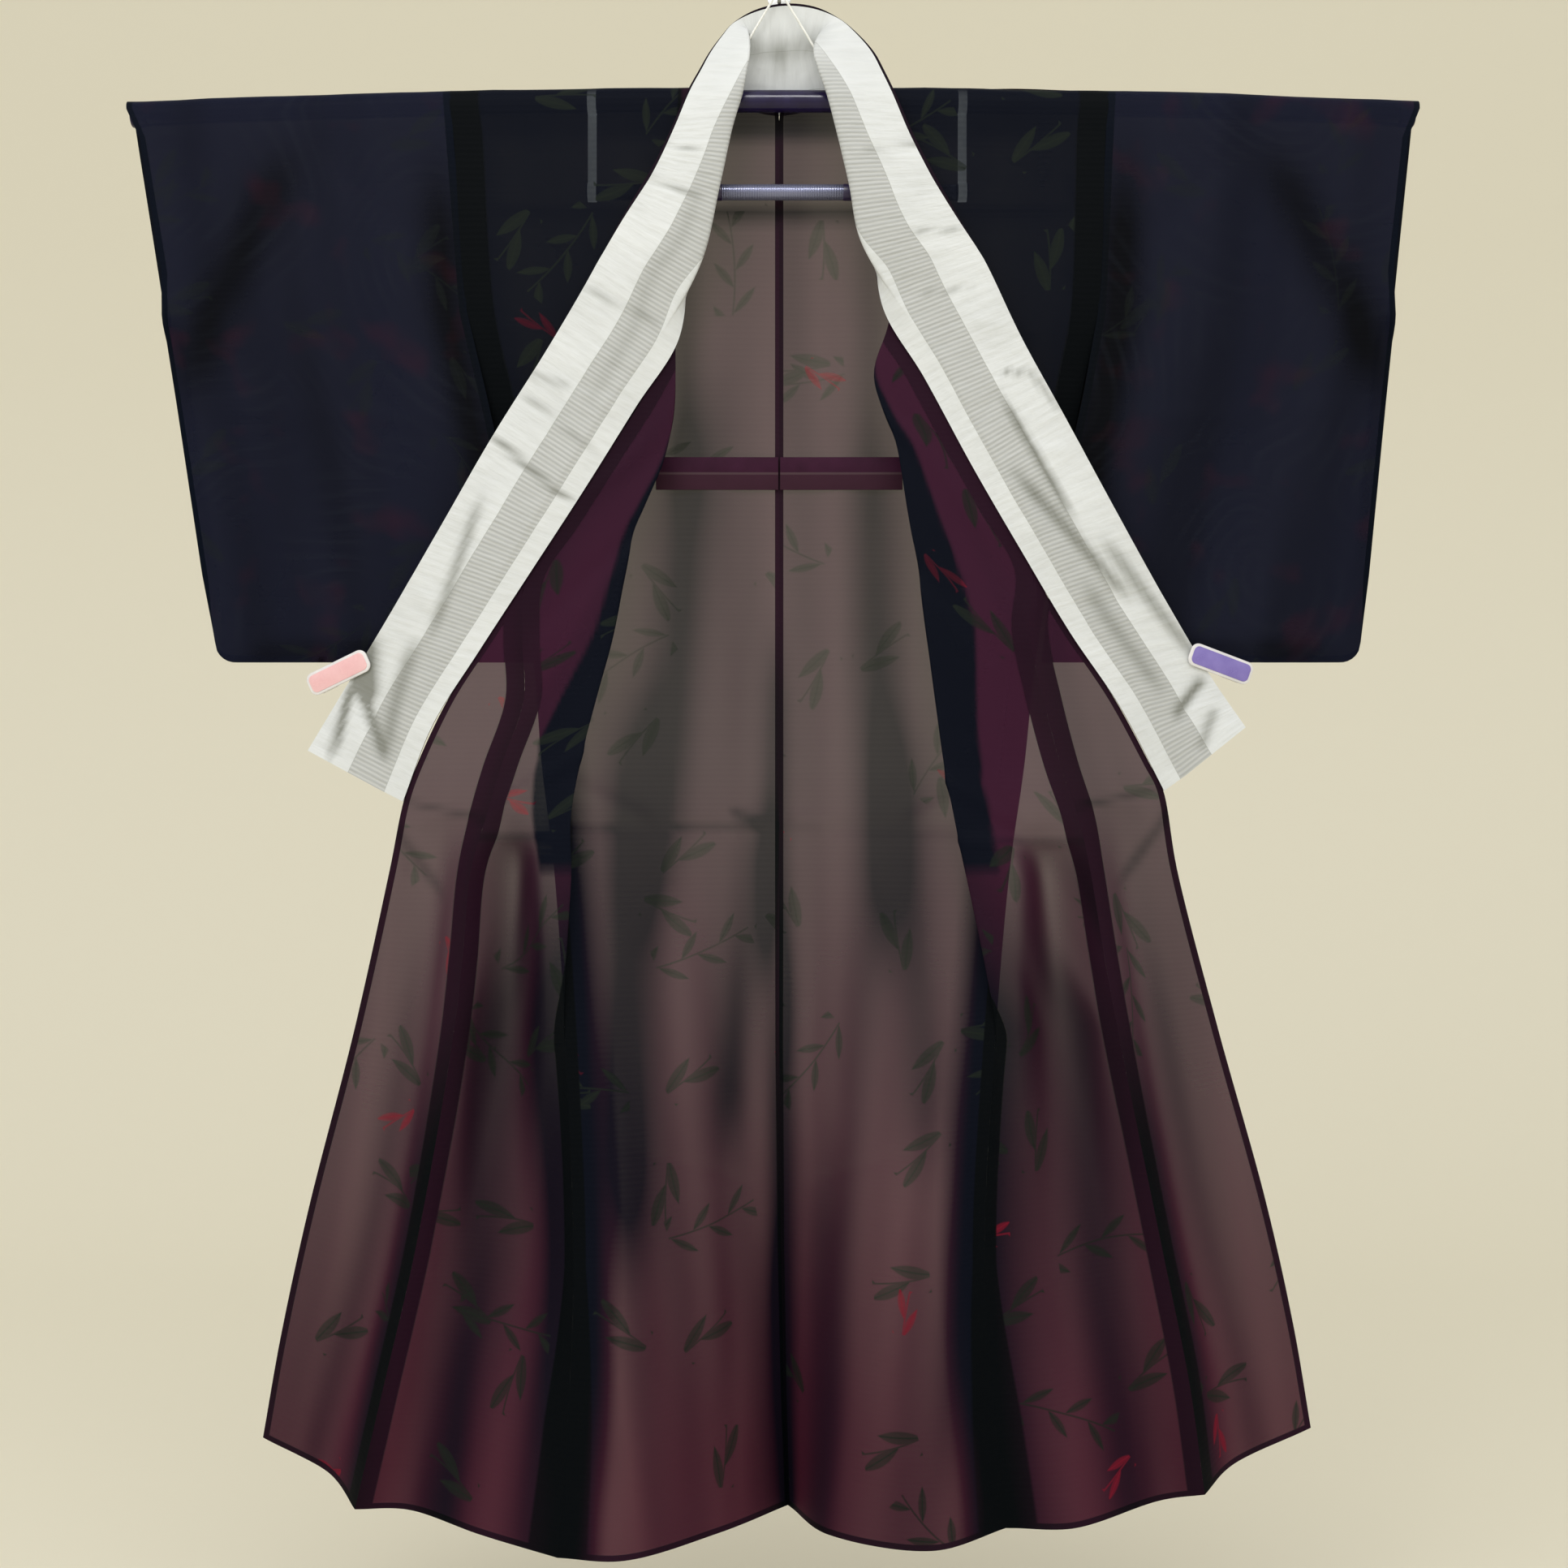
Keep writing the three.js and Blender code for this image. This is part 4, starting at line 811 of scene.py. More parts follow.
def motif(tree, cloth, cell, turn, leaf, lean, pairs, rarity):
    """Leaves strewn over the cloth: in each cell of a loose net a stem at its own angle, with leaves that
    lean away from it on both sides, so many pairs each way from its middle. The cells and the leaves are
    measured in metres, and rarity is the share of cells left empty. Gives how much of each place a leaf
    or its stem covers."""
    net = add(tree, "VectorMath", (cloth, (1 / cell,) * 3), operation="MULTIPLY")
    net = add(tree, "VectorMath", (net, (turn, turn * 1.7, 0)), operation="ADD")
    cells = add(tree, "TexVoronoi", {"Vector": net, "Scale": 1.0, "Randomness": 0.8},
                voronoi_dimensions="2D", feature="F1").node.outputs
    local = add(tree, "VectorMath", (net, cells["Position"]), operation="SUBTRACT")
    chance = add(tree, "SeparateColor", (cells["Color"],)).node.outputs
    angle = add(tree, "Math", (chance[0], 6.283), operation="MULTIPLY")  # a whole turn
    local = add(tree, "VectorRotate", {"Vector": local, "Angle": angle}, rotation_type="Z_AXIS")
    local = add(tree, "VectorMath", (local, (cell,) * 3), operation="MULTIPLY")
    x, y, _ = add(tree, "SeparateXYZ", (local,)).node.outputs
    # the stem bows a little, off is the distance from it, and way is the side on which a place lies
    bow = add(tree, "Math", (x, x), operation="MULTIPLY")
    y = add(tree, "Math", (bow, -1.6, y), operation="MULTIPLY_ADD")
    off = add(tree, "Math", (y,), operation="ABSOLUTE")
    way = add(tree, "Math", (y,), operation="SIGN")
    # along counts anew from each leaf's foot; the leaves of the two sides don't stand quite opposite
    step = leaf * 1.25
    shifted = add(tree, "Math", (way, step * 0.2, x), operation="MULTIPLY_ADD")
    span = add(tree, "Math", (shifted, 1 / step, 0.5), operation="MULTIPLY_ADD")
    part = add(tree, "Math", (span,), operation="FRACT")
    along = add(tree, "Math", (part, step, -0.12 * step), operation="MULTIPLY_ADD")
    # length runs from a leaf's foot to its tip, breadth away from its rib
    c, s = math.cos(lean), math.sin(lean)
    length = add(tree, "Math", (off, s), operation="MULTIPLY")
    length = add(tree, "Math", (along, c, length), operation="MULTIPLY_ADD")
    breadth = add(tree, "Math", (off, c), operation="MULTIPLY")
    breadth = add(tree, "Math", (along, -s, breadth), operation="MULTIPLY_ADD")
    breadth = add(tree, "Math", (breadth,), operation="ABSOLUTE")
    share = add(tree, "Math", (length, leaf, 0), operation="DIVIDE", use_clamp=True)
    rest = add(tree, "Math", (1.0, share), operation="SUBTRACT")
    half = add(tree, "Math", (share, rest), operation="MULTIPLY")
    half = add(tree, "Math", (half, leaf * 0.56), operation="MULTIPLY")
    inside = add(tree, "Math", (half, breadth), operation="SUBTRACT")
    blade = add(tree, "MapRange", (inside, 0.0, 0.0016, 0.0, 1.0))
    rib = add(tree, "MapRange", (breadth, 0.0, 0.0012, 0.45, 0.0))
    blade = add(tree, "Math", (rib, blade, blade), operation="MULTIPLY_ADD")
    stem = add(tree, "MapRange", (off, 0.0005, 0.0014, 1.0, 0.0))
    whole = add(tree, "Math", (blade, stem), operation="MAXIMUM")
    end = step * pairs
    reach = add(tree, "Math", (x,), operation="ABSOLUTE")
    reach = add(tree, "MapRange", (reach, end, end + 0.001, 1.0, 0.0))
    near = add(tree, "MapRange", (off, leaf, leaf * 1.05, 1.0, 0.0))
    kept = add(tree, "Math", (chance[1], rarity), operation="GREATER_THAN")
    for limit in (reach, near, kept):
        whole = add(tree, "Math", (whole, limit), operation="MULTIPLY")
    return whole


def sheer_silk(name, ground, shade, cover, low_cover, leaves, watered=False, turned="#26101f",
               low_ground="#4b1d2e"):
    """Silk gauze, woven with open rows: a dark cloth that the light comes through. cover is how much of
    what lies behind one layer hides at the top of the garment, low_cover the same below its crease, and
    leaves is how strongly the sprays show. low_cover and low_ground, the colour down there, paint shade
    onto the lower garment, which grows darker towards the hem. shade is the colour of the painted shade
    that the shade strokes and the streaks lay on. The watered cloth has the faint waves that two layers of
    it make together, and soft red patches in place of the single red leaves. turned is the colour of the
    seam allowances."""
    material, tree = blank(name)
    cloth = add(tree, "UVMap", uv_map="cloth")
    place = add(tree, "TexCoord", output=3)
    height = add(tree, "SeparateXYZ", (place,), output=2)
    # painted shade: from 0.8 m to 1.5 m down the gauze hides more of what lies behind it and takes the
    # low_ground colour, so that the garment darkens towards the hem
    low = add(tree, "MapRange", (height, -0.8, -1.5, 0.0, 1.0))
    seams = add(tree, "Attribute", output=1, attribute_name="seams")
    edge, *others = add(tree, "SeparateXYZ", (seams,)).node.outputs
    for other in others:
        edge = add(tree, "Math", (edge, other), operation="MINIMUM")
    folded = add(tree, "MapRange", (edge, 0.95, 1.05, 1.0, 0.0))
    veil = add(tree, "Attribute", output=1, attribute_name="veil")
    slant, dim, outer_or_shadow = add(tree, "SeparateXYZ", (veil,)).node.outputs
    # long soft streaks where the gauze hangs nearer to or further from the light
    streak = add(tree, "Mapping", {"Vector": cloth, "Scale": (13.0, 1.3, 1.0)})
    streak = add(tree, "TexNoise", {"Vector": streak, "Scale": 1.0, "Detail": 1.0})
    streak = add(tree, "MapRange", (streak, 0.42, 0.75, 0.0, 0.46))
    dim = add(tree, "Math", (dim, streak), operation="ADD", use_clamp=True)
    # rows of openings every 3 mm, drawn twice as far apart so that they can be seen
    weave = add(tree, "TexWave", {"Vector": cloth, "Scale": WAVE / 0.006, "Distortion": 0.0}, output=1,
                bands_direction="Y")
    sprays = motif(tree, cloth, cell=0.22, turn=0.3, leaf=0.036, lean=0.66, pairs=1.2, rarity=0.12)
    singles = motif(tree, cloth, cell=0.13, turn=2.7, leaf=0.050, lean=0.33, pairs=0.49, rarity=0.18)
    sprays = add(tree, "Math", (sprays, singles), operation="MAXIMUM")
    if watered:
        reds = add(tree, "TexNoise", {"Vector": cloth, "Scale": 15.0, "Detail": 2.0})
        reds = add(tree, "MapRange", (reds, 0.58, 0.82, 0.0, 0.10))
    else:
        reds = motif(tree, cloth, cell=0.25, turn=4.1, leaf=0.034, lean=0.36, pairs=0.5, rarity=0.25)
        reds = add(tree, "Math", (reds, 0.72), operation="MULTIPLY")
    cover = add(tree, "Mix", {"Factor": low, 2: cover, 3: low_cover})
    # what each adds to the share that a layer hides; dim adds painted shade, and the outer value on a back
    # panel adds the dark of its double hems and the painted shadow of the bars
    for share, gain in ((dim, 0.075), (outer_or_shadow, 0.085), (weave, 0.004), (sprays, leaves * 0.022),
                        (reds, 0.04)):
        cover = add(tree, "Math", (share, gain, cover), operation="MULTIPLY_ADD")
    doubled = add(tree, "Math", (folded, 0.997), operation="MULTIPLY")
    cover = add(tree, "Math", (cover, doubled), operation="MAXIMUM")
    # a layer that stands steeply to the eye hides more
    through = add(tree, "Math", (1.0, cover), operation="SUBTRACT", use_clamp=True)
    through = add(tree, "Math", (through, slant), operation="POWER")
    cover = add(tree, "Math", (1.0, through), operation="SUBTRACT", use_clamp=True)
    green = add(tree, "Math", (sprays, leaves * 0.7), operation="MULTIPLY", use_clamp=True)
    faded = add(tree, "Math", (outer_or_shadow, -0.7, 1.0), operation="MULTIPLY_ADD")
    reds = add(tree, "Math", (reds, faded), operation="MULTIPLY")
    # colours laid over the ground: the lower garment's colour, the painted shade of the strokes and streaks,
    # the navy outer face (on a back panel the dark of its double hems and the painted shadow of the bars),
    # and the leaves
    layers = [(low, low_ground), (dim, shade), (outer_or_shadow, "#070b17"), (green, "#1b211c")]
    if watered:
        warp = add(tree, "TexNoise", {"Vector": cloth, "Scale": 5.0, "Detail": 1.0}, output=1)
        ripple = add(tree, "VectorMath", (warp, (0.14, 0.14, 0.14), cloth), operation="MULTIPLY_ADD")
        ripple = add(tree, "TexVoronoi", {"Vector": ripple, "Scale": 3.1, "Randomness": 0.9},
                     voronoi_dimensions="2D")
        wave = add(tree, "Math", (ripple, 120.0), operation="MULTIPLY")
        wave = add(tree, "Math", (wave,), operation="SINE")
        patch = add(tree, "TexNoise", {"Vector": cloth, "Scale": 12.0, "Detail": 1.0})
        patch = add(tree, "MapRange", (patch, 0.4, 0.7, 0.0, 0.12))
        layers.append((add(tree, "Math", (wave, patch), operation="MULTIPLY", use_clamp=True), "#262b34"))
    layers.append((reds, "#6e1527"))
    colour = tone(ground)
    for share, code in layers:
        colour = add(tree, "Mix", {"Factor": share, 6: colour, 7: tone(code)}, output=2, data_type="RGBA")
    # the seam allowances turn black under the painted shade, and where the outer face, the double hems or the
    # bars' painted shadow lie
    hidden = add(tree, "Math", (dim, outer_or_shadow), operation="MAXIMUM")
    allowance = add(tree, "Mix", {"Factor": hidden, 6: tone(turned), 7: tone("#030609")}, output=2,
                    data_type="RGBA")
    colour = add(tree, "Mix", {"Factor": folded, 6: colour, 7: allowance}, output=2, data_type="RGBA")
    relief = add(tree, "Bump", {"Strength": 0.25, "Distance": 0.0003, "Height": weave})
    return close_material(material, {
        "Base Color": colour, "Roughness": 0.65, "Specular IOR Level": 0.04, "Alpha": cover,
        "Normal": relief})


def white_lining(name):
    """Smooth white silk, faced along its length with a band of ribbed gauze."""
    material, tree = blank(name)
    cloth = add(tree, "UVMap", uv_map="cloth")
    seams = add(tree, "Attribute", output=1, attribute_name="seams")
    across, front, _ = add(tree, "SeparateXYZ", (seams,)).node.outputs
    ripple = add(tree, "TexNoise", {"Vector": cloth, "Scale": 14.0, "Detail": 2.0})
    across = add(tree, "Math", (ripple, 0.02, across), operation="MULTIPLY_ADD")
    # the band's two edges, as shares of the collar's width
    start = add(tree, "MapRange", (across, 0.20, 0.206, 0.0, 1.0))
    end = add(tree, "MapRange", (across, 0.582, 0.588, 1.0, 0.0))
    gauze = add(tree, "Math", (start, end), operation="MULTIPLY")
    gauze = add(tree, "Math", (gauze, front), operation="MULTIPLY")
    # ribs every 4.7 mm across the band
    ribs = add(tree, "TexWave", {"Vector": cloth, "Scale": WAVE / 0.0047, "Distortion": 0.6,
                                 "Detail": 1.0, "Detail Scale": 0.3}, output=1, bands_direction="Y")
    cloud = add(tree, "TexNoise", {"Vector": cloth, "Scale": 9.0, "Detail": 3.0})
    ribbed, plain = (
        add(tree, "Mix", {"Factor": share, 6: tone(dark), 7: tone(pale)}, output=2, data_type="RGBA")
        for share, dark, pale in ((ribs, "#adafad", "#c2c4c1"), (cloud, "#c9cccb", "#e8ebeb")))
    # a darker line where the band is sewn down
    join, other = (add(tree, "Math", (side, 0.5, 0.45), operation="COMPARE") for side in (start, end))
    join = add(tree, "Math", (join, other), operation="MAXIMUM")
    join = add(tree, "Math", (join, 0.45), operation="MULTIPLY")
    height = add(tree, "Math", (ribs, gauze), operation="MULTIPLY")
    relief = add(tree, "Bump", {"Strength": 0.5, "Distance": 0.0006, "Height": height})
    # crepe, crinkled across its width
    stretched = add(tree, "Mapping", {"Vector": cloth, "Scale": (22.0, 150.0, 1.0)})
    crepe = add(tree, "TexNoise", {"Vector": stretched, "Scale": 1.0, "Detail": 4.0})
    crumple = add(tree, "TexNoise", {"Vector": cloth, "Scale": 24.0, "Detail": 3.0})
    crumple = add(tree, "Math", (crepe, 0.45, crumple), operation="MULTIPLY_ADD")
    relief = add(tree, "Bump", {"Strength": 0.75, "Distance": 0.0035, "Height": crumple,
                                "Normal": relief})
    # painted shade in the lining's creases and crinkles: the collar's shade strokes and the crepe darken it
    # to grey
    veil = add(tree, "Attribute", output=1, attribute_name="veil")
    dim = add(tree, "SeparateXYZ", (veil,), output=1)
    dim = add(tree, "Math", (crepe, 0.30, dim), operation="MULTIPLY_ADD")
    dim = add(tree, "MapRange", (dim, 0.13, 0.95, 0.0, 1.0))
    colour = plain
    for share, over in ((gauze, ribbed), (join, tone("#8f9188")), (dim, tone("#83857e"))):
        colour = add(tree, "Mix", {"Factor": share, 6: colour, 7: over}, output=2, data_type="RGBA")
    return close_material(material, {
        "Base Color": colour, "Roughness": 0.55, "Specular IOR Level": 0.3, "Sheen Weight": 0.2,
        "Normal": relief})


def coated(name, colour, worn, roughness, metallic=0.0, scale=60.0, gloss=0.5, glow=0.0):
    """A smooth manufactured surface with slight handling marks. Its emission is painted light: it makes a
    tape glow so that it shows through the gauze in front of it, though it is no lamp."""
    material, tree = blank(name)
    place = add(tree, "TexCoord", output=3)
    marks = add(tree, "TexNoise", {"Vector": place, "Scale": scale, "Detail": 5.0})
    marks = add(tree, "MapRange", (marks, 0.35, 0.7, 0.0, 1.0))
    shaded = add(tree, "Mix", {"Factor": marks, 6: tone(colour), 7: tone(worn)}, output=2,
                 data_type="RGBA")
    rough = add(tree, "MapRange", (marks, 0.0, 1.0, roughness, roughness + 0.12))
    relief = add(tree, "Bump", {"Strength": 0.2, "Distance": 0.0001, "Height": marks})
    return close_material(material, {
        "Base Color": shaded, "Roughness": rough, "Metallic": metallic, "Specular IOR Level": gloss,
        "Emission Color": shaded, "Emission Strength": glow, "Normal": relief})


def doubled_silk(name):
    """Silk gauze lying double, so that no light comes through, with a pale line where it is folded."""
    material, tree = blank(name)
    place = add(tree, "TexCoord", output=3)
    crumple = add(tree, "TexNoise", {"Vector": place, "Scale": 40.0, "Detail": 4.0})
    height = add(tree, "SeparateXYZ", (place,), output=2)
    below = add(tree, "Math", (height, TUCK_FOLD_Z * MM), operation="LESS_THAN")
    below = add(tree, "Math", (below, 0.7), operation="MULTIPLY")
    fold = add(tree, "Math", (height, TUCK_FOLD_Z * MM, 0.0012), operation="COMPARE")
    colour = tone("#28131f")
    for share, code in ((crumple, "#431f37"), (below, "#3d2630"), (fold, "#4c3a40")):
        colour = add(tree, "Mix", {"Factor": share, 6: colour, 7: tone(code)}, output=2, data_type="RGBA")
    relief = add(tree, "Bump", {"Strength": 0.4, "Distance": 0.001, "Height": crumple})
    return close_material(material, {
        "Base Color": colour, "Roughness": 0.62, "Specular IOR Level": 0.04, "Alpha": 0.97,
        "Normal": relief})


def ribbed_tube(name, colour):
    """Anodised tube with fine ribs every 1.6 mm along it."""
    material, tree = blank(name)
    place = add(tree, "TexCoord", output=3)
    ribs = add(tree, "TexWave", {"Vector": place, "Scale": WAVE / 0.0016}, output=1, bands_direction="X")
    shade = add(tree, "Mix", {"Factor": ribs, 6: tone(colour), 7: tone("#8f92ab")}, output=2,
                data_type="RGBA")
    relief = add(tree, "Bump", {"Strength": 0.7, "Distance": 0.0004, "Height": ribs})
    return close_material(material, {
        "Base Color": shade, "Roughness": 0.2, "Metallic": 0.5, "Normal": relief})


def twisted_cord(name):
    """White cotton cord, laid in strands that turn once in 6 mm."""
    material, tree = blank(name)
    place = add(tree, "TexCoord", output=3)
    strands = add(tree, "TexWave", {"Vector": place, "Scale": WAVE / 0.003}, output=1,
                  bands_direction="DIAGONAL")
    shade = add(tree, "Mix", {"Factor": strands, 6: tone("#e9e9e2"), 7: tone("#f7f7f2")}, output=2,
                data_type="RGBA")
    relief = add(tree, "Bump", {"Strength": 0.5, "Distance": 0.0004, "Height": strands})
    return close_material(material, {
        "Base Color": shade, "Roughness": 0.85, "Specular IOR Level": 0.2, "Normal": relief})


def copy_node(name, node, shift=(0, 0, 0)):
    """A merged copy of a CAD node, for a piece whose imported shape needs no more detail."""
    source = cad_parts[node]
    bm = bmesh.new()
    bm.from_mesh(source.data)
    bm.transform(Matrix.Translation(at(*shift)) @ source.matrix_world)
    bmesh.ops.remove_doubles(bm, verts=bm.verts[:], dist=MERGE)
    bmesh.ops.recalc_face_normals(bm, faces=bm.faces[:])
    bmesh.ops.dissolve_limit(bm, angle_limit=0.001, verts=bm.verts[:], edges=bm.edges[:])
    piece = finish_mesh(name, bm)
    rounded = piece.modifiers.new("rounded", "BEVEL")
    rounded.width = 0.0004
    rounded.segments = 2
    rounded.limit_method = "ANGLE"
    return piece


def dress(piece, material, slot, *nodes):
    """Gives a piece its material, and has it stand for the CAD nodes named. slot is not used."""
    piece.data.materials.clear()
    piece.data.materials.append(material)
    if nodes:
        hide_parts(*nodes)
    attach(piece, "root")
    return piece


# ---- sizes and colours that a user would change -------------------------------------------------


class KimonoCloth(bpy.types.PropertyGroup):
    ground: bpy.props.StringProperty(
        name="Ground", description="Colour of the body's gauze, as sRGB hex", default="#3c1a2f")
    sleeve: bpy.props.StringProperty(
        name="Sleeve", description="Colour of the sleeves' outer face, as sRGB hex", default="#131627")
    cover: bpy.props.FloatProperty(
        name="Cover", description="How much of what lies behind it one layer hides", default=0.865,
        min=0.0, max=1.0, subtype="FACTOR")
    ripple: bpy.props.FloatProperty(
        name="Ripple", description="Unevenness of the hanging cloth, in millimetres", default=1.6,
        min=0.0, max=4.0)
    hem: bpy.props.FloatProperty(
        name="Hem", description="Depth of the rolled hem", default=0.006, min=0.002, max=0.02,
        unit="LENGTH")


class KimonoHanger(bpy.types.PropertyGroup):
    bar: bpy.props.StringProperty(
        name="Bar", description="Colour of the upper bar, as sRGB hex", default="#191034")
    lower_bar: bpy.props.StringProperty(
        name="Lower bar", description="Colour of the lower bar, as sRGB hex", default="#6a6d88")


class KimonoStage(bpy.types.PropertyGroup):
    wall: bpy.props.StringProperty(
        name="Backdrop", description="Colour of the floor and backdrop, as sRGB hex", default="#e3decb")
    distance: bpy.props.FloatProperty(
        name="Distance", description="From the camera to the wall plane", default=2.417, unit="LENGTH")
    lens: bpy.props.FloatProperty(
        name="Lens", description="Focal length in millimetres on a 36 mm sensor", default=53.2)


# ---- pieces -------------------------------------------------------------------------------------

LINING_LIFT = 0.0012  # metres from the collar's gauze to its lining
LINING_SHORT = (0.24, 0.12)  # metres: short up to the first from the neck's middle, full after the second
BAND_FADE = 0.12  # metres from the neck's middle over which the ribbed band comes in
BAR_ROWS = 12  # rows of a body panel that lie over the bar
FRONT_TURN = 18  # the column of a front at which it is folded back
TUCK_SHIFT = (0, -2, -17.5)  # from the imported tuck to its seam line, in front of the back's folds
TUCK_FOLD_Z = -495.5


class KIMONO_OT_body(bpy.types.Operator):
    """Back panels, fronts and overlap panels of sheer silk gauze"""

    bl_idname = "kimono.body"
    bl_label = "Body"

    def execute(self, context):
        size = context.scene.kimono_cloth
        gauze = sheer_silk("Silk gauze, burgundy over navy", ground=size.ground, shade="#130e1a",
                           cover=size.cover, low_cover=0.942, leaves=1.0)
        halves = (
            (-1, "left", BACK_LEFT, FRONT_LEFT, OKUMI_LEFT, LIFT_LEFT, COLLAR_LEFT),
            (1, "right", BACK_RIGHT, FRONT_RIGHT, OKUMI_RIGHT, LIFT_RIGHT, COLLAR_RIGHT),
        )
        for side, word, back, front, okumi, lift, collar in halves:
            line = seam_line(collar)
            grid = drape(back_sections(side, back, front, lift), (15, 15, 15))
            grid = press(grid, BACK_FOLDS, size.ripple, 3 + side, side)
            sew(grid, 0, [place_on(row, "centre", lift) for row in back], below=-0.128)
            side_line = [row[-1] for row in grid[BAR_ROWS:]]
            piece = sheet_mesh("gauze_back_" + word, grid, (0.0045, 0.028, size.hem), 1,
                               shades=BACK_SHADES[word], shift=2 + side, outer=side_hems_and_bar_shadow(grid), narrow=1)
            dress(piece, gauze, "body_cloth", "back_" + word)
            grid = drape(front_sections(side, back, front, lift, line), (FRONT_TURN, 12, 12, 18))
            grid = press(grid, FRONT_FOLDS, size.ripple, 9 + side, -side)
            sew(grid, 0, side_line, below=OPEN_SIDE_Z * MM)
            front_seam = [row[-1] for row in grid[BAR_ROWS:]]
            piece = sheet_mesh("gauze_front_" + word, grid, (0.030, 0.018, size.hem), 1,
                               shades=FRONT_SHADES, shift=5 + side, weight=1.25, narrow=0,
                               outer=outer_face(grid, TURNED_WIDTH[word]))
            dress(piece, gauze, "body_cloth", "front_" + word)
            grid = drape(okumi_sections(okumi, lift, line), (13, 13))
            grid = press(grid, OKUMI_FOLDS, size.ripple, 15 + side, -side)
            sew(grid, 0, front_seam)
            piece = sheet_mesh("gauze_okumi_" + word, grid, (0.020, 0.007, size.hem), 1,
                               shades=OKUMI_SHADES, shift=8 + side)
            dress(piece, gauze, "body_cloth", "okumi_" + word)
        return {"FINISHED"}


def outer_face(grid, widths):
    """For each point of a front panel, 1 where the cloth's outer face shows: up to its fold above the
    crease, and past it as far as the cloth lies in three layers, a width that changes with z."""
    sizes = measure(grid)

    def share(r, c):
        z = grid[r][c].z / MM
        width = between(widths, z) * MM if z < widths[0][0] else 0
        past = sizes[r][c][0] - sizes[r][FRONT_TURN][0]
        return clamp((width - past) / TURN_FADE) * (1 - clamp((CREASE_Z + 4 - z) / 10))

    return share


def side_hems_and_bar_shadow(grid):
    """For each point of a back panel, how dark it lies: near the side seam, where the hems lie double, and
    in the painted shadow of the bars."""
    sizes = measure(grid)

    def share(r, c):
        seam = (SIDE_DARK[0] - sizes[r][c][1]) / (SIDE_DARK[0] - SIDE_DARK[1])
        return clamp(max(seam, between(BAR_SHADOW, grid[r][c].z / MM)))

    return share


class KIMONO_OT_sleeves(bpy.types.Operator):
    """Both sleeves, each one length of gauze folded over the bar and open at the cuff"""

    bl_idname = "kimono.sleeves"
    bl_label = "Sleeves"

    def execute(self, context):
        size = context.scene.kimono_cloth
        gauze = sheer_silk("Silk gauze, navy face", ground=size.sleeve, shade="#05060b", cover=0.93,
                           low_cover=0.93, leaves=0.35, watered=True, turned="#040a17",
                           low_ground=size.sleeve)
        for side, word, edges in ((-1, "left", SLEEVE_LEFT), (1, "right", SLEEVE_RIGHT)):
            grid = sleeve_grid(edges, side)
            grid = press(grid, SLEEVE_FOLDS, size.ripple * 0.7, 21 + side, side)
            piece = sheet_mesh("gauze_sleeve_" + word, grid, (0.008, 0.006, 0.008), 1, merge=True,
                               shades=SLEEVE_SHADES, shift=11 + side)
            dress(piece, gauze, "sleeve_cloth", "sleeve_" + word)
        return {"FINISHED"}


class KIMONO_OT_collar(bpy.types.Operator):
    """Wide collar with its white lining"""

    bl_idname = "kimono.collar"
    bl_label = "Collar"

    def execute(self, context):
        gauze = sheer_silk("Silk gauze, collar", ground="#170d18", shade="#171219", cover=0.985,
                           low_cover=0.985, leaves=0.2, turned="#1b0f1b", low_ground="#170d18")
        lining = white_lining("White silk lining with ribbed gauze")
        grid = drape(collar_sections(), (8, 4, 4, 16), pitch=0.007)
        facing = 1 if grid_normal(grid, 40, 20).y < 0 else -1
        outer = press(grid, COLLAR_FOLDS, 0.5, 31, facing)
        piece = sheet_mesh("gauze_collar", outer, (0.004, 0.004, 9), -1)
        dress(piece, gauze, "sleeve_cloth", "collar_cloth")
        sizes = measure(grid)
        inner = [[p + grid_normal(outer, r, c) * (facing * LINING_LIFT) for c, p in enumerate(row)]
                 for r, row in enumerate(outer)]
        neck = sizes[-1][0][2] / 2

        def share(r, c):
            """How far across the collar a point lies, and how far from the neck, where no band shows."""
            first, last, down = sizes[r][c]
            front = min(abs(down - neck) / BAND_FADE, 1.0)
            return (first / (first + last), front**3, 0.0)

        for r, row in enumerate(inner):  # round the neck the lining stops a little short of the edge
            off = (abs(sizes[r][0][2] - neck) - LINING_SHORT[0]) / LINING_SHORT[1]
            row[-1] = row[-2].lerp(row[-1], 0.1 + 0.98 * clamp(off))
        piece = sheet_mesh("silk_collar_lining", inner, (1, 1, 1), 1, spare=share, shades=COLLAR_SHADES)
        dress(piece, lining, "collar_lining", "collar_lining")
        return {"FINISHED"}


def rod(bm, x_ends, z, radius, segments=48, steps=1, rim=0.0):
    """A closed rod along x at height z, cut into steps, with its end edges rounded by rim."""
    a, b = (at(x, BAR_Y, z) for x in x_ends)
    turn = (b - a).to_track_quat("Z", "Y").to_matrix().to_4x4()
    made = bmesh.ops.create_circle(bm, cap_ends=True, segments=segments, radius=radius * MM,
                                   matrix=Matrix.Translation(a) @ turn)
    faces = list(dict.fromkeys(face for vert in made["verts"] for face in vert.link_faces))
    base = faces[:]
    for step in range(steps):
        grown = bmesh.ops.extrude_face_region(bm, geom=faces)
        moved = [item for item in grown["geom"] if isinstance(item, bmesh.types.BMVert)]
        bmesh.ops.translate(bm, verts=moved, vec=(b - a) / steps)
        if step:
            bmesh.ops.delete(bm, geom=faces, context="FACES_ONLY")
        faces = [item for item in grown["geom"] if isinstance(item, bmesh.types.BMFace)]
    if rim:
        edges = list(dict.fromkeys(edge for face in base + faces for edge in face.edges))
        bmesh.ops.bevel(bm, geom=edges, offset=rim * MM, segments=3, profile=0.5, affect="EDGES",
                        material=-1)


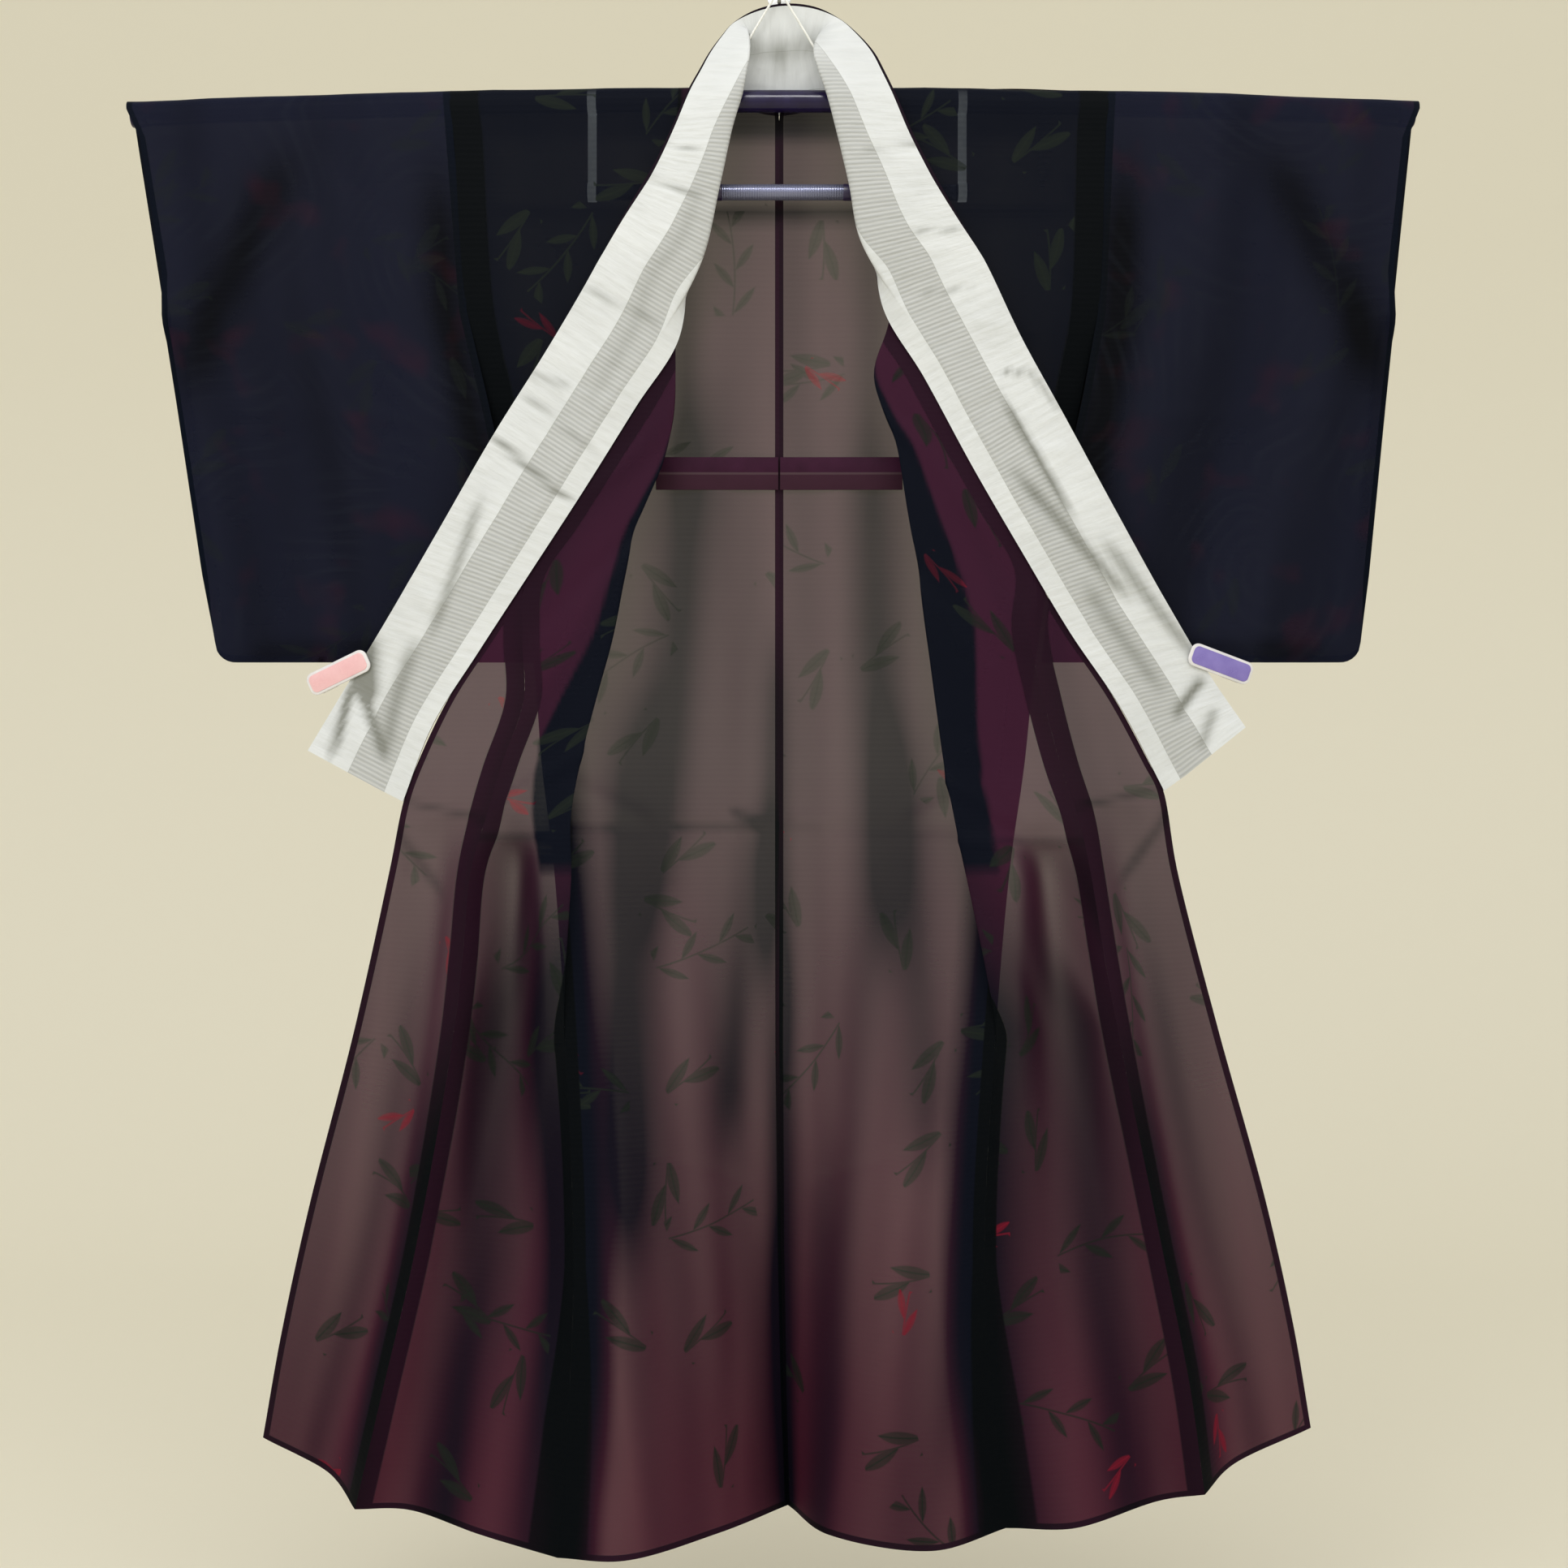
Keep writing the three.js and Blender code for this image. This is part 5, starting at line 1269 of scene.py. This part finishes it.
def closed_mesh(name, bm):
    """An object of a bmesh whose doubled points are merged and whose faces point outwards."""
    bmesh.ops.remove_doubles(bm, verts=bm.verts[:], dist=MERGE)
    bmesh.ops.recalc_face_normals(bm, faces=bm.faces[:])
    return finish_mesh(name, bm)


class KIMONO_OT_tucks(bpy.types.Operator):
    """Waist tuck across the back, two strips of doubled cloth"""

    bl_idname = "kimono.tucks"
    bl_label = "Tucks"

    def execute(self, context):
        cloth = doubled_silk("Silk gauze, doubled")
        for word in ("left", "right"):
            piece = copy_node("gauze_tuck_" + word, "tuck_" + word, TUCK_SHIFT)
            dress(piece, cloth, "body_cloth", "tuck_" + word)
        return {"FINISHED"}


class KIMONO_OT_hanger(bpy.types.Operator):
    """Lacquered upper bar with end caps, ribbed lower bar, straps, cord and wall hook"""

    bl_idname = "kimono.hanger"
    bl_label = "Hanger"

    def execute(self, context):
        size = context.scene.kimono_hanger
        lacquer = coated("Glossy lacquered tube", size.bar, "#1f1640", 0.14, gloss=0.35)
        metal = ribbed_tube("Ribbed anodised tube", size.lower_bar)
        sleeve = coated("Moulded end sleeve, purple", "#241a3a", "#2f2449", 0.3)
        # the tape glows by its emission, painted light that makes it show through the gauze in front of it
        tape = coated("Frosted nylon tape", "#d3dcdf", "#e4ecec", 0.5, scale=220, glow=1.8)
        steel = coated("Brushed steel", "#b9b9b6", "#a3a3a2", 0.3, metallic=1.0, scale=180)

        bm = bmesh.new()
        rod(bm, (BAR_LEFT, BAR_RIGHT), BAR_Z, BAR_RADIUS, steps=40)
        for x_ends in ((BAR_LEFT, BAR_LEFT + CAP_LENGTH), (BAR_RIGHT, BAR_RIGHT - CAP_LENGTH)):
            rod(bm, x_ends, BAR_Z, CAP_RADIUS, rim=1.5)
        for vert in bm.verts:
            vert.co.z -= droop(vert.co.x / MM) * MM
        bmesh.ops.recalc_face_normals(bm, faces=bm.faces[:])
        dress(finish_mesh("lacquered_bar", bm), lacquer, "bar_lacquer", "hanger_bar")

        bm = bmesh.new()
        rod(bm, LOWER_BAR, LOWER_BAR_Z, LOWER_RADIUS, segments=64)
        dress(closed_mesh("ribbed_bar", bm), metal, "lower_bar", "lower_bar")
        bm = bmesh.new()
        for x_ends, rim in LOWER_SLEEVES:
            rod(bm, x_ends, LOWER_BAR_Z, LOWER_SLEEVE_RADIUS, rim=rim)
        dress(closed_mesh("bar_sleeves", bm), sleeve, "lower_bar")

        cord = twisted_cord("Twisted white cord")
        for name, material, slot, node in (
            ("tape_left", tape, "strap", "strap_left"),
            ("tape_right", tape, "strap", "strap_right"),
            ("white_cord", cord, "cord", "hanging_cord"),
            ("steel_hook", steel, "hook_metal", "wall_hook"),
        ):
            dress(copy_node(name, node), material, slot, node)
        return {"FINISHED"}


class KIMONO_OT_clips(bpy.types.Operator):
    """Plain clips that hold the collar's ends open"""

    bl_idname = "kimono.clips"
    bl_label = "Clips"

    def execute(self, context):
        rim = coated("Glossy moulded plastic, white", "#eceaea", "#dedcde", 0.2)
        for out, word, colour, worn, middle, tilt, yaw, slot in (
            (-1, "left", "#f4c6c8", "#eebabd", (-455, -24.65, -703), -0.42, -0.27, "clip_pink"),
            (1, "right", "#8a7cc4", "#7b6cb8", (456, -24.2, -694), 0.33, 0.27, "clip_purple"),
        ):
            plastic = coated("Glossy moulded plastic, " + word, colour, worn, 0.2)
            place = (Matrix.Translation(at(*middle)) @ Matrix.Rotation(tilt, 4, "Y")
                     @ Matrix.Rotation(yaw, 4, "Z"))
            # size, corner radius, edge radius and centre of each plate, in the clip's own frame
            for part, material, plate, corner, edge, centre, nodes in (
                ("jaw", rim, (73, 3, 24), 8, 0.9, (0, 0, 0), ["clip_" + word]),
                ("face", plastic, (67, 0.8, 18.5), 5.5, 0.3, (0, -1.7, 0), []),
                ("grip", rim, (29, 3, 22), 7, 0.9, (out * 22, 13, 0), []),
                ("block", rim, (14, 13, 5), 1.5, 0.5, (out * 22, 6, -8.5), []),
            ):
                turned = place @ Matrix.Translation(at(*centre))
                piece = rounded_plate("clip_%s_%s" % (part, word), plate, corner, edge, turned)
                dress(piece, material, slot, *nodes)
        return {"FINISHED"}


def rounded_plate(name, size, corner, edge, place):
    """A plate with its broad sides to the front and back, rounded corners and softened edges."""
    bm = bmesh.new()
    bmesh.ops.create_cube(bm, size=1.0)
    bmesh.ops.scale(bm, verts=bm.verts[:], vec=at(*size))
    corners = [e for e in bm.edges if abs(e.verts[0].co.y - e.verts[1].co.y) > 0.0001]
    bmesh.ops.bevel(bm, geom=corners, offset=corner * MM, segments=10, profile=0.5, affect="EDGES",
                    material=-1)
    rims = [e for e in bm.edges if abs(e.verts[0].co.y - e.verts[1].co.y) < 0.0001]
    bmesh.ops.bevel(bm, geom=rims, offset=edge * MM, segments=3, profile=0.5, affect="EDGES",
                    material=-1)
    bmesh.ops.transform(bm, matrix=place, verts=bm.verts[:])
    return closed_mesh(name, bm)


class KIMONO_OT_stage(bpy.types.Operator):
    """Pale floor and backdrop, soft light and the camera"""

    bl_idname = "kimono.stage"
    bl_label = "Stage"

    def execute(self, context):
        size = context.scene.kimono_stage
        length, near, start, bend, floor, half_width = 22, -12, 2.0, 2.5, -1.74, 40  # metres
        bm = bmesh.new()
        bmesh.ops.create_grid(bm, x_segments=1, y_segments=60, size=1.0)
        for vert in bm.verts:
            run = (vert.co.y + 1) / 2 * length + near  # along the floor, up the bend and up the backdrop
            angle = min(max((run - start) / bend, 0), math.pi / 2)
            rise = max(run - start - bend * math.pi / 2, 0)
            y = min(run, start) + bend * math.sin(angle)
            vert.co = (vert.co.x * half_width, y, floor + bend * (1 - math.cos(angle)) + rise)
        sweep = finish_mesh("sweep", bm)
        paper, _ = blank("Matt backdrop paper")
        close_material(paper, {
            "Base Color": tone(size.wall), "Roughness": 0.95, "Specular IOR Level": 0.05})
        sweep.data.materials.append(paper)

        world = bpy.data.worlds.new("studio")
        context.scene.world = world
        world.use_nodes = True
        backdrop = world.node_tree.nodes["Background"]
        backdrop.inputs["Color"].default_value = tone("#fcfbf9")
        backdrop.inputs["Strength"].default_value = 0.98
        for name, place, aim, sides, power in (
            ("key", (-1.5, -2.6, 0.9), (0, 0, -0.7), (1.6, 1.2), 16),
            ("strip", (0.1, -2.0, 1.5), (0, 0, -0.1), (2.4, 0.36), 13),
            ("gleam", (0.0, -2.3, 1.6), (0, 0, -0.1), (2.6, 0.8), 70),
        ):
            light = bpy.data.lights.new(name, "AREA")
            light.shape = "RECTANGLE"
            light.size, light.size_y = sides
            light.energy = power
            lamp = bpy.data.objects.new(name, light)
            lamp.location = place
            lamp.visible_diffuse = name != "gleam"  # only the bars' gloss shows this one
            lamp.rotation_euler = (Vector(aim) - Vector(place)).to_track_quat("-Z", "Y").to_euler()
            context.scene.collection.objects.link(lamp)
        lens = bpy.data.cameras.new("view")
        lens.lens = size.lens
        lens.sensor_width = 36
        camera = bpy.data.objects.new("view", lens)
        camera.location = (0.005, -size.distance, -0.818)  # level with the middle of the garment
        camera.rotation_euler = (math.pi / 2, 0, 0)
        context.scene.collection.objects.link(camera)
        context.scene.camera = camera
        context.scene.view_settings.view_transform = "Standard"
        return {"FINISHED"}


class KIMONO_PT_pieces(bpy.types.Panel):
    """Lists the pieces that can be built"""

    bl_idname = "KIMONO_PT_pieces"
    bl_label = "Summer kimono"
    bl_space_type = "VIEW_3D"
    bl_region_type = "UI"
    bl_category = "Kimono"

    def draw(self, context):
        for operator in OPERATORS:
            self.layout.operator(operator.bl_idname)
        for group in GROUPS:
            box = self.layout.box()
            for name in group.__annotations__:
                box.prop(getattr(context.scene, GROUPS[group]), name)


OPERATORS = (KIMONO_OT_stage, KIMONO_OT_hanger, KIMONO_OT_body, KIMONO_OT_sleeves, KIMONO_OT_collar,
             KIMONO_OT_tucks, KIMONO_OT_clips)
GROUPS = {KimonoCloth: "kimono_cloth", KimonoHanger: "kimono_hanger", KimonoStage: "kimono_stage"}


def register():
    for group, name in GROUPS.items():
        bpy.utils.register_class(group)
        setattr(bpy.types.Scene, name, bpy.props.PointerProperty(type=group))
    for operator in OPERATORS:
        bpy.utils.register_class(operator)
    bpy.utils.register_class(KIMONO_PT_pieces)


def unregister():
    bpy.utils.unregister_class(KIMONO_PT_pieces)
    for operator in reversed(OPERATORS):
        bpy.utils.unregister_class(operator)
    for group, name in GROUPS.items():
        delattr(bpy.types.Scene, name)
        bpy.utils.unregister_class(group)


def main():
    register()
    for operator in OPERATORS:
        group, name = operator.bl_idname.split(".")
        getattr(getattr(bpy.ops, group), name)()


if __name__ == "__main__":
    main()
